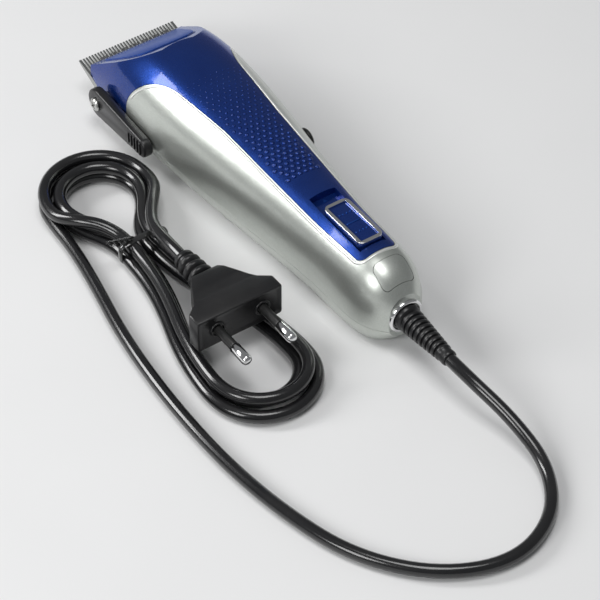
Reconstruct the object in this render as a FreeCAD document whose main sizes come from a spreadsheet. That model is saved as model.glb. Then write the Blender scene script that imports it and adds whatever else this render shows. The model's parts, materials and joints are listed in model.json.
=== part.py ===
# Mains hair clipper with a magnetic motor, as an assembly of separate pieces.
# Frame: millimetres, +Z up. The clipper lies on its underside. The blade points to -Y, the cord leaves
# towards +Y, and the taper lever is on the +X side. The origin is on the flat underside, at mid length.
# Stations along the clipper are measured from the blade's tip and called "along".
import FreeCAD
import Part
import Sketcher
import math
import os
import re
from FreeCAD import Placement, Rotation, Vector

doc = FreeCAD.newDocument("HairClipper")
sheet = doc.addObject("Spreadsheet::Sheet", "Sizes")

SIZES = [
    # housing, outer form
    ("overall_length", 184.0),
    ("head_width", 48.0),
    ("front_width", 42.0),
    ("tail_width", 28.0),
    ("head_height", 39.5),
    ("front_height", 30.0),
    ("tail_height", 33.0),
    ("widest_height", 17.0),
    ("under_depth", 4.0),
    ("upper_fullness", 2.3),
    ("lower_fullness", 2.6),
    ("tip_reach", 8.0),
    ("head_along", 46.0),
    ("dome_length", 18.0),
    ("dome_squeeze", 60.0),
    ("wall", 2.2),
    ("parting_height", 9.0),
    ("seam_gap", 0.15),
    ("facet_angle", 35.0),
    ("facet_rear_along", 39.0),
    ("facet_drop", 0.9),
    # top cover outline and tail insert
    ("shoulder_along", 37.0),
    ("shoulder_rise", 8.0),
    ("side_reach", 1.0),
    ("shoulder_round", 36.0),
    ("tongue_along", 53.0),
    ("tongue_front_half", 14.5),
    ("tongue_waist_along", 88.0),
    ("tongue_waist_half", 11.0),
    ("tongue_end_along", 168.0),
    ("tongue_end_half", 7.8),
    ("tongue_end_round", 3.0),
    ("insert_front_along", 172.0),
    ("insert_length", 9.0),
    ("insert_width", 13.0),
    ("insert_depth", 4.0),
    ("insert_round", 2.5),
    # blades, in the blade's own plane
    ("blade_width", 43.0),
    ("blade_length", 31.0),
    ("blade_thick", 2.8),
    ("blade_slope", 9.5),
    ("blade_angle", 25.0),
    ("tip_height", 13.5),
    ("tip_thick", 0.7),
    ("tooth_pitch", 1.3),
    ("tooth_gap", 0.6),
    ("tooth_length", 8.0),
    ("tooth_overcut", 2.0),
    ("cutter_width", 31.0),
    ("cutter_setback", 3.5),
    ("cutter_length", 17.5),
    ("cutter_thick", 1.5),
    ("cutter_slope", 6.0),
    ("cutter_tip_thick", 0.6),
    ("cutter_pitch", 1.8),
    ("cutter_gap", 0.85),
    ("cutter_tooth_length", 6.0),
    ("cutter_centre", -1.0),
    ("blade_clearance", 0.1),
    ("pocket_gap", 0.15),
    ("bed_gap", 0.05),
    ("bay_clearance", 1.0),
    ("bay_length", 23.6),
    ("guide_clearance", 0.3),
    ("cutter_stroke", 1.3),
    ("taper_travel", 2.0),
    ("yoke_width", 10.0),
    ("yoke_height", 1.6),
    ("yoke_front", 10.9),
    ("yoke_rear", 20.1),
    ("yoke_clearance", 0.9),
    ("finger_radius", 2.0),
    ("finger_length", 5.4),
    ("finger_lift", 0.5),
    ("finger_end_gap", 0.3),
    ("finger_clearance", 0.12),
    ("finger_back", 14.5),
    ("guide_thick", 0.8),
    ("guide_width", 29.0),
    ("guide_bar", 2.4),
    ("guide_front", 11.0),
    ("guide_bar_front", 21.0),
    ("ear_thick", 1.6),
    ("fork_depth", 0.8),
    ("spring_thick", 0.5),
    ("spring_inner_half", 9.3),
    ("spring_outer_half", 11.5),
    ("spring_front", 12.0),
    ("spring_bar_front", 21.6),
    ("spring_rear", 22.6),
    ("blade_screw_length", 8.0),
    ("blade_screw_spacing", 20.0),
    ("blade_screw_back", 27.2),
    ("seat_along", 23.9),
    ("seat_length", 8.0),
    ("seat_border", 2.2),
    ("screw_radius", 1.5),
    ("screw_head_radius", 2.7),
    ("screw_head_height", 1.4),
    ("head_face_share", 0.75),
    ("screw_clearance", 0.1),
    ("screw_sink", 0.25),
    ("blade_screw_sink", 0.15),
    ("head_side_gap", 0.3),
    ("hole_spare", 1.0),
    ("housing_screw_length", 20.0),
    ("boss_wall", 2.0),
    ("front_boss_half", 15.0),
    ("front_boss_along", 44.0),
    ("rear_boss_half", 9.0),
    ("rear_boss_along", 134.0),
    # taper lever
    ("lever_along", 24.0),
    ("lever_height", 12.0),
    ("lever_reach", 31.0),
    ("lever_hub_radius", 6.0),
    ("lever_tip_radius", 4.0),
    ("lever_thick", 3.8),
    ("lever_gap", 0.5),
    ("shaft_radius", 3.0),
    ("cam_radius", 2.9),
    ("cam_pin_radius", 1.2),
    ("cam_pin_back", 1.9),
    ("cam_pin_length", 3.0),
    ("cam_lean", 20.0),
    ("cam_gap", 0.4),
    ("web_thick", 1.6),
    ("web_border", 0.2),
    ("thread_depth", 5.0),
    ("lever_screw_bite", 3.0),
    ("running_gap", 0.08),
    # motor
    ("motor_height", 18.0),
    ("stack_height", 12.0),
    ("core_along", 62.0),
    ("pole_width", 6.0),
    ("window_width", 7.5),
    ("middle_pole_width", 9.0),
    ("core_inner", 2.6),
    ("core_back", 11.6),
    ("core_outer", 15.8),
    ("air_gap", 1.6),
    ("armature_thick", 4.0),
    ("arm_thick", 4.0),
    ("arm_front_along", 30.0),
    ("arm_length", 76.0),
    ("arm_low", 14.4),
    ("arm_high", 20.4),
    ("nose_along", 15.6),
    ("nose_height", 2.8),
    ("nose_half", 3.5),
    ("nose_overlap", 4.0),
    ("pivot_along", 109.0),
    ("leaf_thick", 0.5),
    ("leaf_overlap", 9.0),
    ("leaf_edge", 0.4),
    ("clamp_length", 10.0),
    ("clamp_gap", 3.0),
    ("clamp_reach", 5.0),
    ("clamp_drop", 4.0),
    ("clamp_plate_thick", 1.5),
    ("clamp_head_height", 1.2),
    ("clamp_head_radius", 1.3),
    ("clamp_screw_inset", 1.7),
    ("rivet_inset", 2.4),
    ("rivet_spacing", 4.2),
    ("rivet_head_height", 0.8),
    ("rivet_radius", 1.4),
    ("bobbin_wall", 1.0),
    ("bobbin_gap", 0.2),
    ("bobbin_front", 1.2),
    ("bobbin_rear_gap", 0.3),
    ("winding_depth", 4.0),
    ("cheek_lip", 0.4),
    ("winding_round", 2.5),
    ("post_radius", 3.0),
    ("post_floor", 1.0),
    ("core_screw_radius", 1.2),
    ("core_screw_head", 2.2),
    ("core_screw_bite", 5.0),
    # power screw and its pad
    ("power_along", 92.0),
    ("power_radius", 2.5),
    ("power_head_radius", 4.5),
    ("power_head_height", 1.6),
    ("power_bevel", 0.6),
    ("power_gap", 0.8),
    ("pad_length", 4.0),
    ("pad_border", 0.7),
    ("pad_gap", 1.0),
    # switch
    ("slider_along", 141.0),
    ("slider_length", 23.0),
    ("slider_width", 10.4),
    ("slider_travel", 4.5),
    ("slider_low", 31.2),
    ("slider_high", 34.2),
    ("slider_round", 2.4),
    ("slider_side_gap", 0.4),
    ("ring_border", 1.4),
    ("ring_height", 0.7),
    ("recess_floor", 31.0),
    ("recess_pan", 1.8),
    ("recess_front", 3.0),
    ("recess_rear", 0.5),
    ("pan_border", 2.0),
    ("pan_front", 5.0),
    ("pan_rear", 2.5),
    ("stem_width", 3.6),
    ("stem_length", 5.0),
    ("stem_back", 9.0),
    ("stem_gap", 0.3),
    ("stem_bite", 1.0),
    ("actuator_half", 2.5),
    ("actuator_border", 1.0),
    ("actuator_depth", 2.0),
    ("actuator_lift", 0.8),
    ("switch_length", 20.0),
    ("switch_width", 12.0),
    ("switch_low", 13.0),
    ("switch_high", 22.5),
    ("switch_front", 8.0),
    ("switch_post_half", 3.0),
    ("switch_post_length", 8.0),
    ("terminal_offset", 2.1),
    ("terminal_width", 2.4),
    ("terminal_length", 5.0),
    ("terminal_height", 16.6),
    ("terminal_thick", 0.8),
    ("wire_radius", 0.9),
    ("wire_start", 3.2),
    # cord exit, cord and plug
    ("cord_diameter", 4.8),
    ("cord_height", 14.0),
    ("relief_length", 26.0),
    ("relief_base_length", 2.5),
    ("relief_gap", 0.15),
    ("relief_base_radius", 5.2),
    ("relief_end_radius", 3.2),
    ("relief_neck_radius", 4.4),
    ("relief_flange_radius", 5.6),
    ("flange_reach", 2.6),
    ("flange_depth", 12.0),
    ("flange_side_gap", 0.3),
    ("hank_centre", 51.0),
    ("hank_front", -50.0),
    ("hank_rear", 100.0),
    ("hank_half", 22.0),
    ("hank_height", 10.2),
    ("tie_place", 2.0),
    ("tie_width", 3.4),
    ("tie_thick", 1.0),
    ("tie_gap", 0.1),
    ("tied_half", 10.6),
    ("plug_centre", 50.0),
    ("plug_rear", 27.0),
    ("plug_height", 17.6),
    ("plug_width", 35.0),
    ("plug_thick", 13.6),
    ("plug_body_length", 22.0),
    ("plug_rear_half", 6.0),
    ("plug_flare", 4.0),
    ("plug_flare_start", 9.0),
    ("plug_flare_end", 6.0),
    ("plug_round", 1.6),
    ("plug_neck_length", 15.0),
    ("plug_neck_radius", 3.9),
    ("neck_flare", 1.0),
    ("neck_bite", 2.0),
    ("pin_radius", 2.0),
    ("pin_length", 19.0),
    ("pin_spacing", 18.6),
    ("sleeve_length", 10.0),
    ("sleeve_radius", 1.8),
    ("pin_seat", 3.0),
    ("pin_core_radius", 1.4),
]

for row, (name, number) in enumerate(SIZES, start=1):
    sheet.set(f"A{row}", name)
    sheet.set(f"B{row}", str(number))
    sheet.setAlias(f"B{row}", name)
doc.recompute()
size = dict(SIZES)

WORDS = ("cos", "sin", "tan", "floor", "sqrt")
NODES = []
FAR = "100"
ACROSS = (f"-{FAR}", FAR)
ENDLESS = (f"-{FAR} * 2", f"{FAR} * 2")


# ---------------------------------------------------------------- helpers
def formula(text):
    """Turns names of sizes into references to the spreadsheet's cells."""
    named = re.compile(r"[a-z][a-z_]*")
    return named.sub(lambda found: found[0] if found[0] in WORDS else "Sizes." + found[0], str(text))


def bind(thing, **rules):
    """Binds properties to formulas; two underscores stand for a dot."""
    for name, rule in rules.items():
        thing.setExpression(name.replace("__", "."), formula(rule))


def along(rule):
    """A station measured from the blade's tip, as a place on the Y axis."""
    return f"({rule}) - overall_length / 2"


def box(name, x, y, z):
    """A box between two planes on each axis."""
    thing = doc.addObject("Part::Box", name)
    bind(thing, Length=f"({x[1]}) - ({x[0]})", Width=f"({y[1]}) - ({y[0]})", Height=f"({z[1]}) - ({z[0]})")
    bind(thing, Placement__Base__x=x[0], Placement__Base__y=y[0], Placement__Base__z=z[0])
    return thing


TURNS = {"x": Rotation(Vector(0, 1, 0), 90), "y": Rotation(Vector(1, 0, 0), -90), "z": Rotation()}


def rod(name, axis, start, radius, length, end_radius=None):
    """A cylinder, or a cone, that starts at a point and runs along +X, +Y or +Z."""
    thing = doc.addObject("Part::Cylinder" if end_radius is None else "Part::Cone", name)
    thing.Placement = Placement(Vector(), TURNS[axis])
    bind(thing, Height=length)
    bind(thing, Placement__Base__x=start[0], Placement__Base__y=start[1], Placement__Base__z=start[2])
    if end_radius is None:
        bind(thing, Radius=radius)
    else:
        bind(thing, Radius1=radius, Radius2=end_radius)
    return thing


def cut(name, base, *tools):
    thing = doc.addObject("Part::Cut", name)
    thing.Base = base
    thing.Tool = tools[0] if len(tools) == 1 else fuse(name + "_tools", *tools)
    return thing


def fuse(name, *parts):
    thing = doc.addObject("Part::MultiFuse", name)
    thing.Shapes = list(parts)
    return thing


def common(name, first, second):
    thing = doc.addObject("Part::MultiCommon", name)
    thing.Shapes = [first, second]
    return thing


def fillet(name, base, radius, chosen):
    """Rounds the edges that a test picks."""
    doc.recompute()
    thing = doc.addObject("Part::Fillet", name)
    thing.Base = base
    thing.Edges = [(i, radius, radius) for i, edge in enumerate(base.Shape.Edges, start=1) if chosen(edge)]
    return thing


def node(name, thing):
    """Marks an object as one of the clipper's own pieces."""
    thing.Label = name
    NODES.append(thing)
    return thing


def in_blade_plane(thing):
    """Tips a piece that was drawn flat into the plane of the blades."""
    thing.Placement = Placement(Vector(), Rotation(Vector(-1, 0, 0), size["blade_angle"]))
    bind(thing, Placement__Base__y=along("0"), Placement__Base__z="tip_height")
    bind(thing, Placement__Rotation__Angle="blade_angle")
    return thing


def plane(body, role):
    return [item for item in body.Origin.OriginFeatures if item.Role == role][0]


def new_body(name):
    return doc.addObject("PartDesign::Body", name)


def sketch(body, name, role, offset="0"):
    """An empty sketch on one of the body's own planes, moved along its normal."""
    thing = body.newObject("Sketcher::SketchObject", name)
    thing.AttachmentSupport = [(plane(body, role), "")]
    thing.MapMode = "FlatFace"
    bind(thing, AttachmentOffset__Base__z=offset)
    return thing


def polygon(thing, points):
    """A closed outline whose corners are bound to formulas."""
    first = thing.GeometryCount
    count = len(points)
    corners = [Vector(9 * math.cos(2 * math.pi * i / count), 9 * math.sin(2 * math.pi * i / count), 0)
               for i in range(count)]
    for i in range(count):
        thing.addGeometry(Part.LineSegment(corners[i], corners[(i + 1) % count]))
    for i in range(count):
        thing.addConstraint(Sketcher.Constraint("Coincident", first + i, 2, first + (i + 1) % count, 1))
    for i, (right, up) in enumerate(points):
        for kind, rule in (("DistanceX", right), ("DistanceY", up)):
            which = thing.addConstraint(Sketcher.Constraint(kind, -1, 1, first + i, 1, 1.0))
            thing.setExpression(f"Constraints[{which}]", formula(rule))


def circle(thing, centre, radius):
    """A circle whose centre and radius are bound to formulas."""
    which = thing.addGeometry(Part.Circle(Vector(1, 1, 0), Vector(0, 0, 1), 2.0))
    for kind, rule in (("DistanceX", centre[0]), ("DistanceY", centre[1])):
        number = thing.addConstraint(Sketcher.Constraint(kind, -1, 1, which, 3, 1.0))
        thing.setExpression(f"Constraints[{number}]", formula(rule))
    number = thing.addConstraint(Sketcher.Constraint("Radius", which, 2.0))
    thing.setExpression(f"Constraints[{number}]", formula(radius))


def pad(body, outline, length, name):
    thing = body.newObject("PartDesign::Pad", name)
    thing.Profile = outline
    bind(thing, Length=length)
    return thing


def pocket_through(body, outline, name):
    """Cuts an outline through everything on the side of the sketch's normal, and checks that it did."""
    doc.recompute()
    before = body.Shape.Volume
    thing = body.newObject("PartDesign::Pocket", name)
    thing.Profile = outline
    thing.Type = "ThroughAll"
    thing.Reversed = True
    doc.recompute()
    if body.Shape.Volume >= before:
        raise RuntimeError(f"{name} cuts nothing")
    return thing


def row_of(body, feature, count, pitch, name):
    """Repeats a feature along X."""
    thing = body.newObject("PartDesign::LinearPattern", name)
    thing.Originals = [feature]
    thing.Direction = (plane(body, "X_Axis"), [""])
    bind(thing, Length=f"(({count}) - 1) * {pitch}", Occurrences=count)
    body.Tip = thing
    return thing


def turned(name, axis, start, outline):
    """A turned piece from (distance along its axis, radius) pairs, as a revolved sketch in its own body."""
    body = new_body(name)
    shape = sketch(body, name + "_half", "XZ_Plane")
    polygon(shape, [(radius, distance) for distance, radius in outline])
    spin = body.newObject("PartDesign::Revolution", name + "_turn")
    spin.Profile = shape
    spin.ReferenceAxis = (shape, ["V_Axis"])
    spin.Angle = 360
    body.Placement = Placement(Vector(), TURNS[axis])
    bind(body, Placement__Base__x=start[0], Placement__Base__y=start[1], Placement__Base__z=start[2])
    return body


def screw(name, axis, start, length, radius="screw_radius", head="screw_head_radius"):
    """A pan-head screw whose head starts at a point, with its shank along the axis."""
    tall = "screw_head_height"
    return turned(name, axis, start, [("0", "0"), ("0", f"{head} * head_face_share"), (f"{tall} / 2", head),
                                      (tall, head),
                                      (tall, radius), (f"{tall} + {length}", radius),
                                      (f"{tall} + {length}", "0")])


# ---------------------------------------------------------------- housing form
def ease(value, start, end):
    """A smooth step from 0 to 1 between two stations."""
    share = min(max((value - start) / (end - start), 0.0), 1.0)
    return share * share * (3 - 2 * share)


def section(station, inset):
    """Half width, underside and top of the housing at a station, moved inwards by a wall."""
    front = size["tip_reach"]
    head = size["head_along"]
    dome = size["overall_length"] - size["dome_length"]
    swell = math.sin(math.pi / 2 * min((station - front) / (head - front), 1.0))
    narrowing = ease(station, head, dome)
    half = (size["front_width"] + (size["head_width"] - size["front_width"]) * swell) / 2
    half -= (size["head_width"] - size["tail_width"]) / 2 * narrowing
    top = size["front_height"] + (size["head_height"] - size["front_height"]) * swell
    top -= (size["head_height"] - size["tail_height"]) * narrowing
    under = -size["under_depth"]
    squeeze = 1.0
    if station > dome:
        reach = size["dome_length"] / math.sin(math.radians(size["dome_squeeze"]))
        squeeze = math.sqrt(1 - ((station - dome) / reach) ** 2)
    centre = size["cord_height"]
    return (half * squeeze - inset, centre + (under - centre) * squeeze + inset,
            centre + (top - centre) * squeeze - inset)


def section_wire(station, inset):
    """An upper and a lower curve round the housing, which meet upright at its widest line."""
    half, under, top = section(station, inset)
    share = (size["widest_height"] + size["under_depth"]) / (size["head_height"] + size["under_depth"])
    middle = under + share * (top - under)
    place = station - size["overall_length"] / 2
    edges = []
    for start, reach, power in ((0.0, top - middle, size["upper_fullness"]),
                                (math.pi, middle - under, size["lower_fullness"])):
        points = []
        steps = 14
        for step in range(steps + 1):
            angle = start + math.pi * step / steps
            right = math.copysign(abs(math.cos(angle)) ** (2 / power), math.cos(angle)) * half
            up = math.copysign(abs(math.sin(angle)) ** (2 / power), math.sin(angle)) * reach
            points.append(Vector(right, place, middle + up))
        upright = 1 if start == 0.0 else -1
        curve = Part.BSplineCurve()
        curve.interpolate(points, InitialTangent=Vector(0, 0, upright), FinalTangent=Vector(0, 0, -upright))
        edges.append(curve.toShape())
    return Part.Wire(edges)


def housing_form(name, inset):
    """The whole housing as one lofted solid, moved inwards by a wall. Its sections follow a formula."""
    front = size["tip_reach"] + inset
    dome = size["overall_length"] - size["dome_length"]
    reach = size["dome_length"] / math.sin(math.radians(size["dome_squeeze"]))
    straight = 9
    stations = [front + (dome - front) * i / straight for i in range(straight + 1)]
    last = math.degrees(math.asin((size["dome_length"] - inset) / reach))
    stations += [dome + reach * math.sin(math.radians(last * i / 3)) for i in (1, 2, 3)]
    thing = doc.addObject("Part::Feature", name)
    thing.Shape = Part.makeLoft([section_wire(station, inset) for station in stations], True, False)
    return thing


def make_forms():
    """The outer form with its flat base, facet and blade seat, and the hollow inside it."""
    forms = []
    for name, inset in (("outer", "0"), ("inner", "wall")):
        form = housing_form(name + "_loft", size["wall"] if name == "inner" else 0.0)
        facet = box(name + "_facet", ACROSS, (f"-{FAR}", "0"), ("0", FAR))
        facet.Placement = Placement(Vector(), Rotation(Vector(1, 0, 0), size["facet_angle"]))
        top = f"head_height - facet_drop - {inset} / cos(facet_angle)"
        bind(facet, Placement__Rotation__Angle="facet_angle")
        bind(facet, Placement__Base__y=f"{along('facet_rear_along')} - {FAR} * cos(facet_angle)",
             Placement__Base__z=f"{top} - {FAR} * sin(facet_angle)", Placement__Base__x=f"-{FAR}")
        below = box(name + "_below", ACROSS, ENDLESS, (f"-{FAR}", inset))
        under = box(name + "_blade_side", ACROSS, ("0", "0"), ("0", "0"))
        under.Placement = Placement(Vector(), Rotation(Vector(-1, 0, 0), size["blade_angle"]))
        lift = f"({inset}) - {FAR}"
        bind(under, Width=f"blade_length + {FAR}", Height=FAR, Placement__Rotation__Angle="blade_angle")
        blade_place(under, f"-{FAR}", f"-{FAR}", lift)
        forms.append(cut(name + "_form", form, facet, below, under))
    return forms


def half_outline(grow):
    """Right half of the cover's outline in plan, grown by a gap, from the front to the tail end."""
    return [(FAR, f"-{FAR}"), (FAR, f"{along('shoulder_along')} - shoulder_rise + ({grow})"),
            (f"head_width / 2 + side_reach + ({grow})", f"{along('shoulder_along')} + ({grow})"),
            (f"tongue_front_half + ({grow})", f"{along('tongue_along')} + ({grow})"),
            (f"tongue_waist_half + ({grow})", along("tongue_waist_along")),
            (f"tongue_end_half + ({grow})", f"{along('tongue_end_along')} + ({grow})")]


def cover_prism(name, grow):
    """An upright prism over the head and the tongue, from the parting plane upwards."""
    body = new_body(name)
    outline = sketch(body, name + "_outline", "XY_Plane", "parting_height + seam_gap / 2")
    right = half_outline(grow)
    left = [(f"-({across})", place) for across, place in reversed(right)]
    polygon(outline, right + left)
    pad(body, outline, FAR, name + "_pad")
    for station, radius in (("tongue_end_along", "tongue_end_round"), ("tongue_along", "shoulder_round")):
        doc.recompute()
        block = body.Tip
        chosen = [i for i, edge in enumerate(block.Shape.Edges, start=1) if upright_at(edge, size[station])]
        rounding = body.newObject("PartDesign::Fillet", f"{name}_{radius}")
        rounding.Base = (block, [f"Edge{i}" for i in chosen])
        bind(rounding, Radius=radius)
    return body


def upright_at(edge, station):
    """True for the upright edges within a seam's width of a station."""
    limits = edge.BoundBox
    upright = limits.XLength < 0.01 and limits.YLength < 0.01
    return upright and abs(limits.YMin + size["overall_length"] / 2 - station) < 2 * size["seam_gap"]


def insert_prism(name, grow):
    """An upright prism with round corners over the tail insert."""
    half = f"insert_width / 2 + ({grow})"
    front = along("insert_front_along")
    block = box(name + "_block", (f"-({half})", half),
                (f"{front} - ({grow})", f"{front} + insert_length + ({grow})"),
                ("cord_height + insert_depth", FAR))
    return fillet(name, block, size["insert_round"], lambda edge: edge.BoundBox.ZLength > 10)


BAY_HALF = "cutter_width / 2 + cutter_stroke + bay_clearance"
GUIDE_TOP = "blade_thick + 2 * blade_clearance + cutter_thick + guide_thick"


def make_housing():
    """Lower shell, upper shell, top cover and tail insert, with their bosses, holes and recesses."""
    outer, inner = make_forms()
    # solid stuff left inside the hollow: switch pan, boss columns for the housing screws, blade seat
    pan = box("recess_block", ("-slider_width / 2 - pan_border", "slider_width / 2 + pan_border"),
              (along("slider_along - slider_travel - pan_front"),
               along("slider_along + slider_length + pan_rear")),
              ("recess_floor - recess_pan", FAR))
    columns = []
    for i, (across, place) in enumerate(BOSSES):
        columns.append(rod(f"column{i}", "z", (across, along(place), "0"), "screw_radius + boss_wall", FAR))
    seat = box("seat_block", ("-blade_screw_spacing / 2 - seat_border",
                              "blade_screw_spacing / 2 + seat_border"),
               (along("seat_along"), along("seat_along + seat_length")),
               ("0", "parting_height - seam_gap / 2"))
    hollow = cut("hollow", inner, pan, seat, *columns)
    skin = cut("skin", outer, hollow)
    # the blades' pocket, and the bay that the moving blade and its guide run in
    pocket = blade_box("blade_pocket", ACROSS, (f"-{FAR}", "blade_length + pocket_gap"),
                       (f"-{FAR}", "blade_thick + bed_gap"))
    bay = blade_box("blade_bay", (f"-({BAY_HALF})", BAY_HALF), (f"-{FAR}", "bay_length"),
                    (f"-{FAR}", f"{GUIDE_TOP} + guide_clearance"))
    tail = ("0", along("overall_length - flange_depth"), "cord_height")
    tail_hole = rod("tail_hole", "y", tail, "relief_neck_radius + screw_clearance", FAR)
    flange_room = rod("flange_room", "y", tail, "relief_flange_radius + flange_side_gap",
                      "flange_depth - wall")
    lever_hole = rod("lever_hole", "x", ("cutter_width / 2", along("lever_along"), "lever_height"),
                     "shaft_radius + running_gap", FAR)
    power_hole = rod("power_hole", "x", (f"-{FAR}", along("power_along"), "motor_height"),
                     "power_radius + running_gap", FAR)
    open_skin = cut("open_skin", skin, pocket, bay, tail_hole, flange_room, lever_hole, power_hole)

    low = box("low_half", ACROSS, ENDLESS, (f"-{FAR}", "parting_height - seam_gap / 2"))
    high = box("high_half", ACROSS, ENDLESS, ("parting_height + seam_gap / 2", FAR))
    holes = []
    for i, (across, place) in enumerate(BOSSES):
        holes.append(rod(f"head_room{i}", "z", (across, along(place), f"-{FAR}"),
                         "screw_head_radius + head_side_gap",
                         f"{FAR} + screw_sink + screw_head_height + bed_gap"))
        holes.append(rod(f"shank_room{i}", "z", (across, along(place), "0"), "screw_radius + screw_clearance",
                         "screw_sink + screw_head_height + housing_screw_length + hole_spare"))
    for i, side in enumerate(SIDES):
        hole = rod(f"blade_screw_room{i}", "z", ("0", "0", "0"), "screw_radius + screw_clearance",
                   "screw_head_height + blade_screw_length + hole_spare")
        holes.append(tip_rod(hole, f"{side} * blade_screw_spacing / 2", "blade_screw_back", "0"))
    posts = []
    for i, (across, place, top) in enumerate(POSTS):
        column = rod(f"post{i}", "z", (across, along(place), "wall / 2"), "post_radius", f"{top} - wall / 2")
        bore = rod(f"post_bore{i}", "z", (across, along(place), "wall + post_floor"),
                   "core_screw_radius + screw_clearance", FAR)
        posts.append(cut(f"bored_post{i}", column, bore))
    switch_post = box("switch_post", ("-switch_post_half", "switch_post_half"),
                      (along(STEM), along(f"{STEM} + switch_post_length")), ("wall / 2", "switch_low"))
    clamp_post = box("clamp_post", CLAMP_X, (along(CLAMP_Y[0]), along(CLAMP_Y[1])),
                     ("wall / 2", "arm_low - clamp_drop"))
    lower_skin = common("lower_skin", open_skin, low)
    lower = cut("lower_drilled", fuse("lower_blank", lower_skin, switch_post, clamp_post, *posts), *holes)
    node("lower_shell", lower)

    upper_skin = cut("upper_open", common("upper_half", open_skin, high), *copies(holes, "upper"))
    recess = box("recess", ("-slider_width / 2 - slider_side_gap", "slider_width / 2 + slider_side_gap"),
                 (along("slider_along - slider_travel - recess_front"),
                  along("slider_along + slider_length + recess_rear")), ("recess_floor", FAR))
    slot = box("stem_slot", ("-stem_width / 2 - stem_gap", "stem_width / 2 + stem_gap"),
               (along(f"{STEM} - slider_travel - slider_side_gap"),
                along(f"{STEM} + stem_length + slider_side_gap")),
               ("switch_high", FAR))
    cover = cut("cover_open", common("cover_skin", upper_skin, cover_prism("cover_outline", "0")), recess,
                slot)
    node("top_cover", cover)
    rest = cut("rest_skin", upper_skin, cover_prism("cover_room", "seam_gap"))
    node("tail_insert", common("tail_insert", rest, insert_prism("insert_outline", "0")))
    node("upper_shell", cut("upper_shell", rest, insert_prism("insert_room", "seam_gap")))


def copies(things, mark):
    """The same cylinders again, for a second piece that is drilled with the first."""
    twins = []
    for thing in things:
        twin = doc.copyObject(thing)
        twin.Label = f"{mark}_{thing.Name}"
        twins.append(twin)
    return twins


def blade_box(name, x, back, up):
    """A box squared to the blade's plane: across it, back from the tip, and up from its underside."""
    thing = box(name, x, back, up)
    thing.Placement = Placement(Vector(), Rotation(Vector(-1, 0, 0), size["blade_angle"]))
    bind(thing, Placement__Rotation__Angle="blade_angle")
    blade_place(thing, x[0], back[0], up[0])
    return thing


def blade_place(thing, across, back, up):
    """Puts a thing's own origin at a point given in the blade's plane."""
    bind(thing, Placement__Base__x=across)
    bind(thing, Placement__Base__y=f"{along('0')} + ({back}) * cos(blade_angle) + ({up}) * sin(blade_angle)")
    bind(thing, Placement__Base__z=f"tip_height - ({back}) * sin(blade_angle) + ({up}) * cos(blade_angle)")


def tip_rod(thing, across, back, up):
    """Stands a cylinder square to the blade's plane."""
    thing.Placement = Placement(Vector(), Rotation(Vector(-1, 0, 0), size["blade_angle"]))
    bind(thing, Placement__Rotation__Angle="blade_angle")
    blade_place(thing, across, back, up)
    return thing


SIDES = ("-1", "1")
STEM = "slider_along + stem_back"
BOSSES = [("-front_boss_half", "front_boss_along"), ("front_boss_half", "front_boss_along"),
          ("-rear_boss_half", "rear_boss_along"), ("rear_boss_half", "rear_boss_along")]
CORE_REAR = "core_along + 2 * pole_width + 2 * window_width + middle_pole_width"
POSTS = [("(core_back + core_outer) / 2", "core_along + pole_width / 2", "motor_height - stack_height / 2"),
         ("(core_back + core_outer) / 2", f"{CORE_REAR} - pole_width / 2", "motor_height - stack_height / 2")]
ARM_X = ("core_inner - air_gap - armature_thick - arm_thick", "core_inner - air_gap - armature_thick")
CLAMP_X = (ARM_X[0], f"{ARM_X[1]} + clamp_reach")
CLAMP_Y = ("pivot_along + clamp_gap", "pivot_along + clamp_gap + clamp_length")


def make_screws():
    """Housing screws from below, and the two screws that hold the fixed blade."""
    shanks = []
    for i, (across, place) in enumerate(BOSSES):
        shanks.append(screw(f"housing_screw{i}", "z", (across, along(place), "screw_sink"),
                            "housing_screw_length"))
    node("housing_screws", fuse("housing_screws", *shanks))
    pair = []
    for i, side in enumerate(SIDES):
        one = screw(f"blade_screw{i}", "z", ("0", "0", "0"), "blade_screw_length")
        pair.append(tip_rod(one, f"{side} * blade_screw_spacing / 2", "blade_screw_back", "blade_screw_sink"))
    node("blade_screws", fuse("blade_screws", *pair))


# ---------------------------------------------------------------- blades
def toothed_plate(name, width, side, count, pitch, gap, depth, centre, front):
    """A plate drawn from its side view, with a row of slots cut into its front edge."""
    body = new_body(name)
    profile = sketch(body, name + "_side", "YZ_Plane", f"({centre}) - ({width}) / 2")
    polygon(profile, side)
    pad(body, profile, width, name + "_plate")
    slot = sketch(body, name + "_slot", "XY_Plane")
    left = f"({centre}) - (({count}) * {pitch}) / 2 + {pitch} / 2 - {gap} / 2"
    mouth = f"({front}) - tooth_overcut"
    root = f"({front}) + {depth}"
    polygon(slot, [(left, mouth), (f"{left} + {gap}", mouth), (f"{left} + {gap}", root), (left, root)])
    first = pocket_through(body, slot, name + "_first_gap")
    row_of(body, first, count, pitch, name + "_teeth")
    return body


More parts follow.
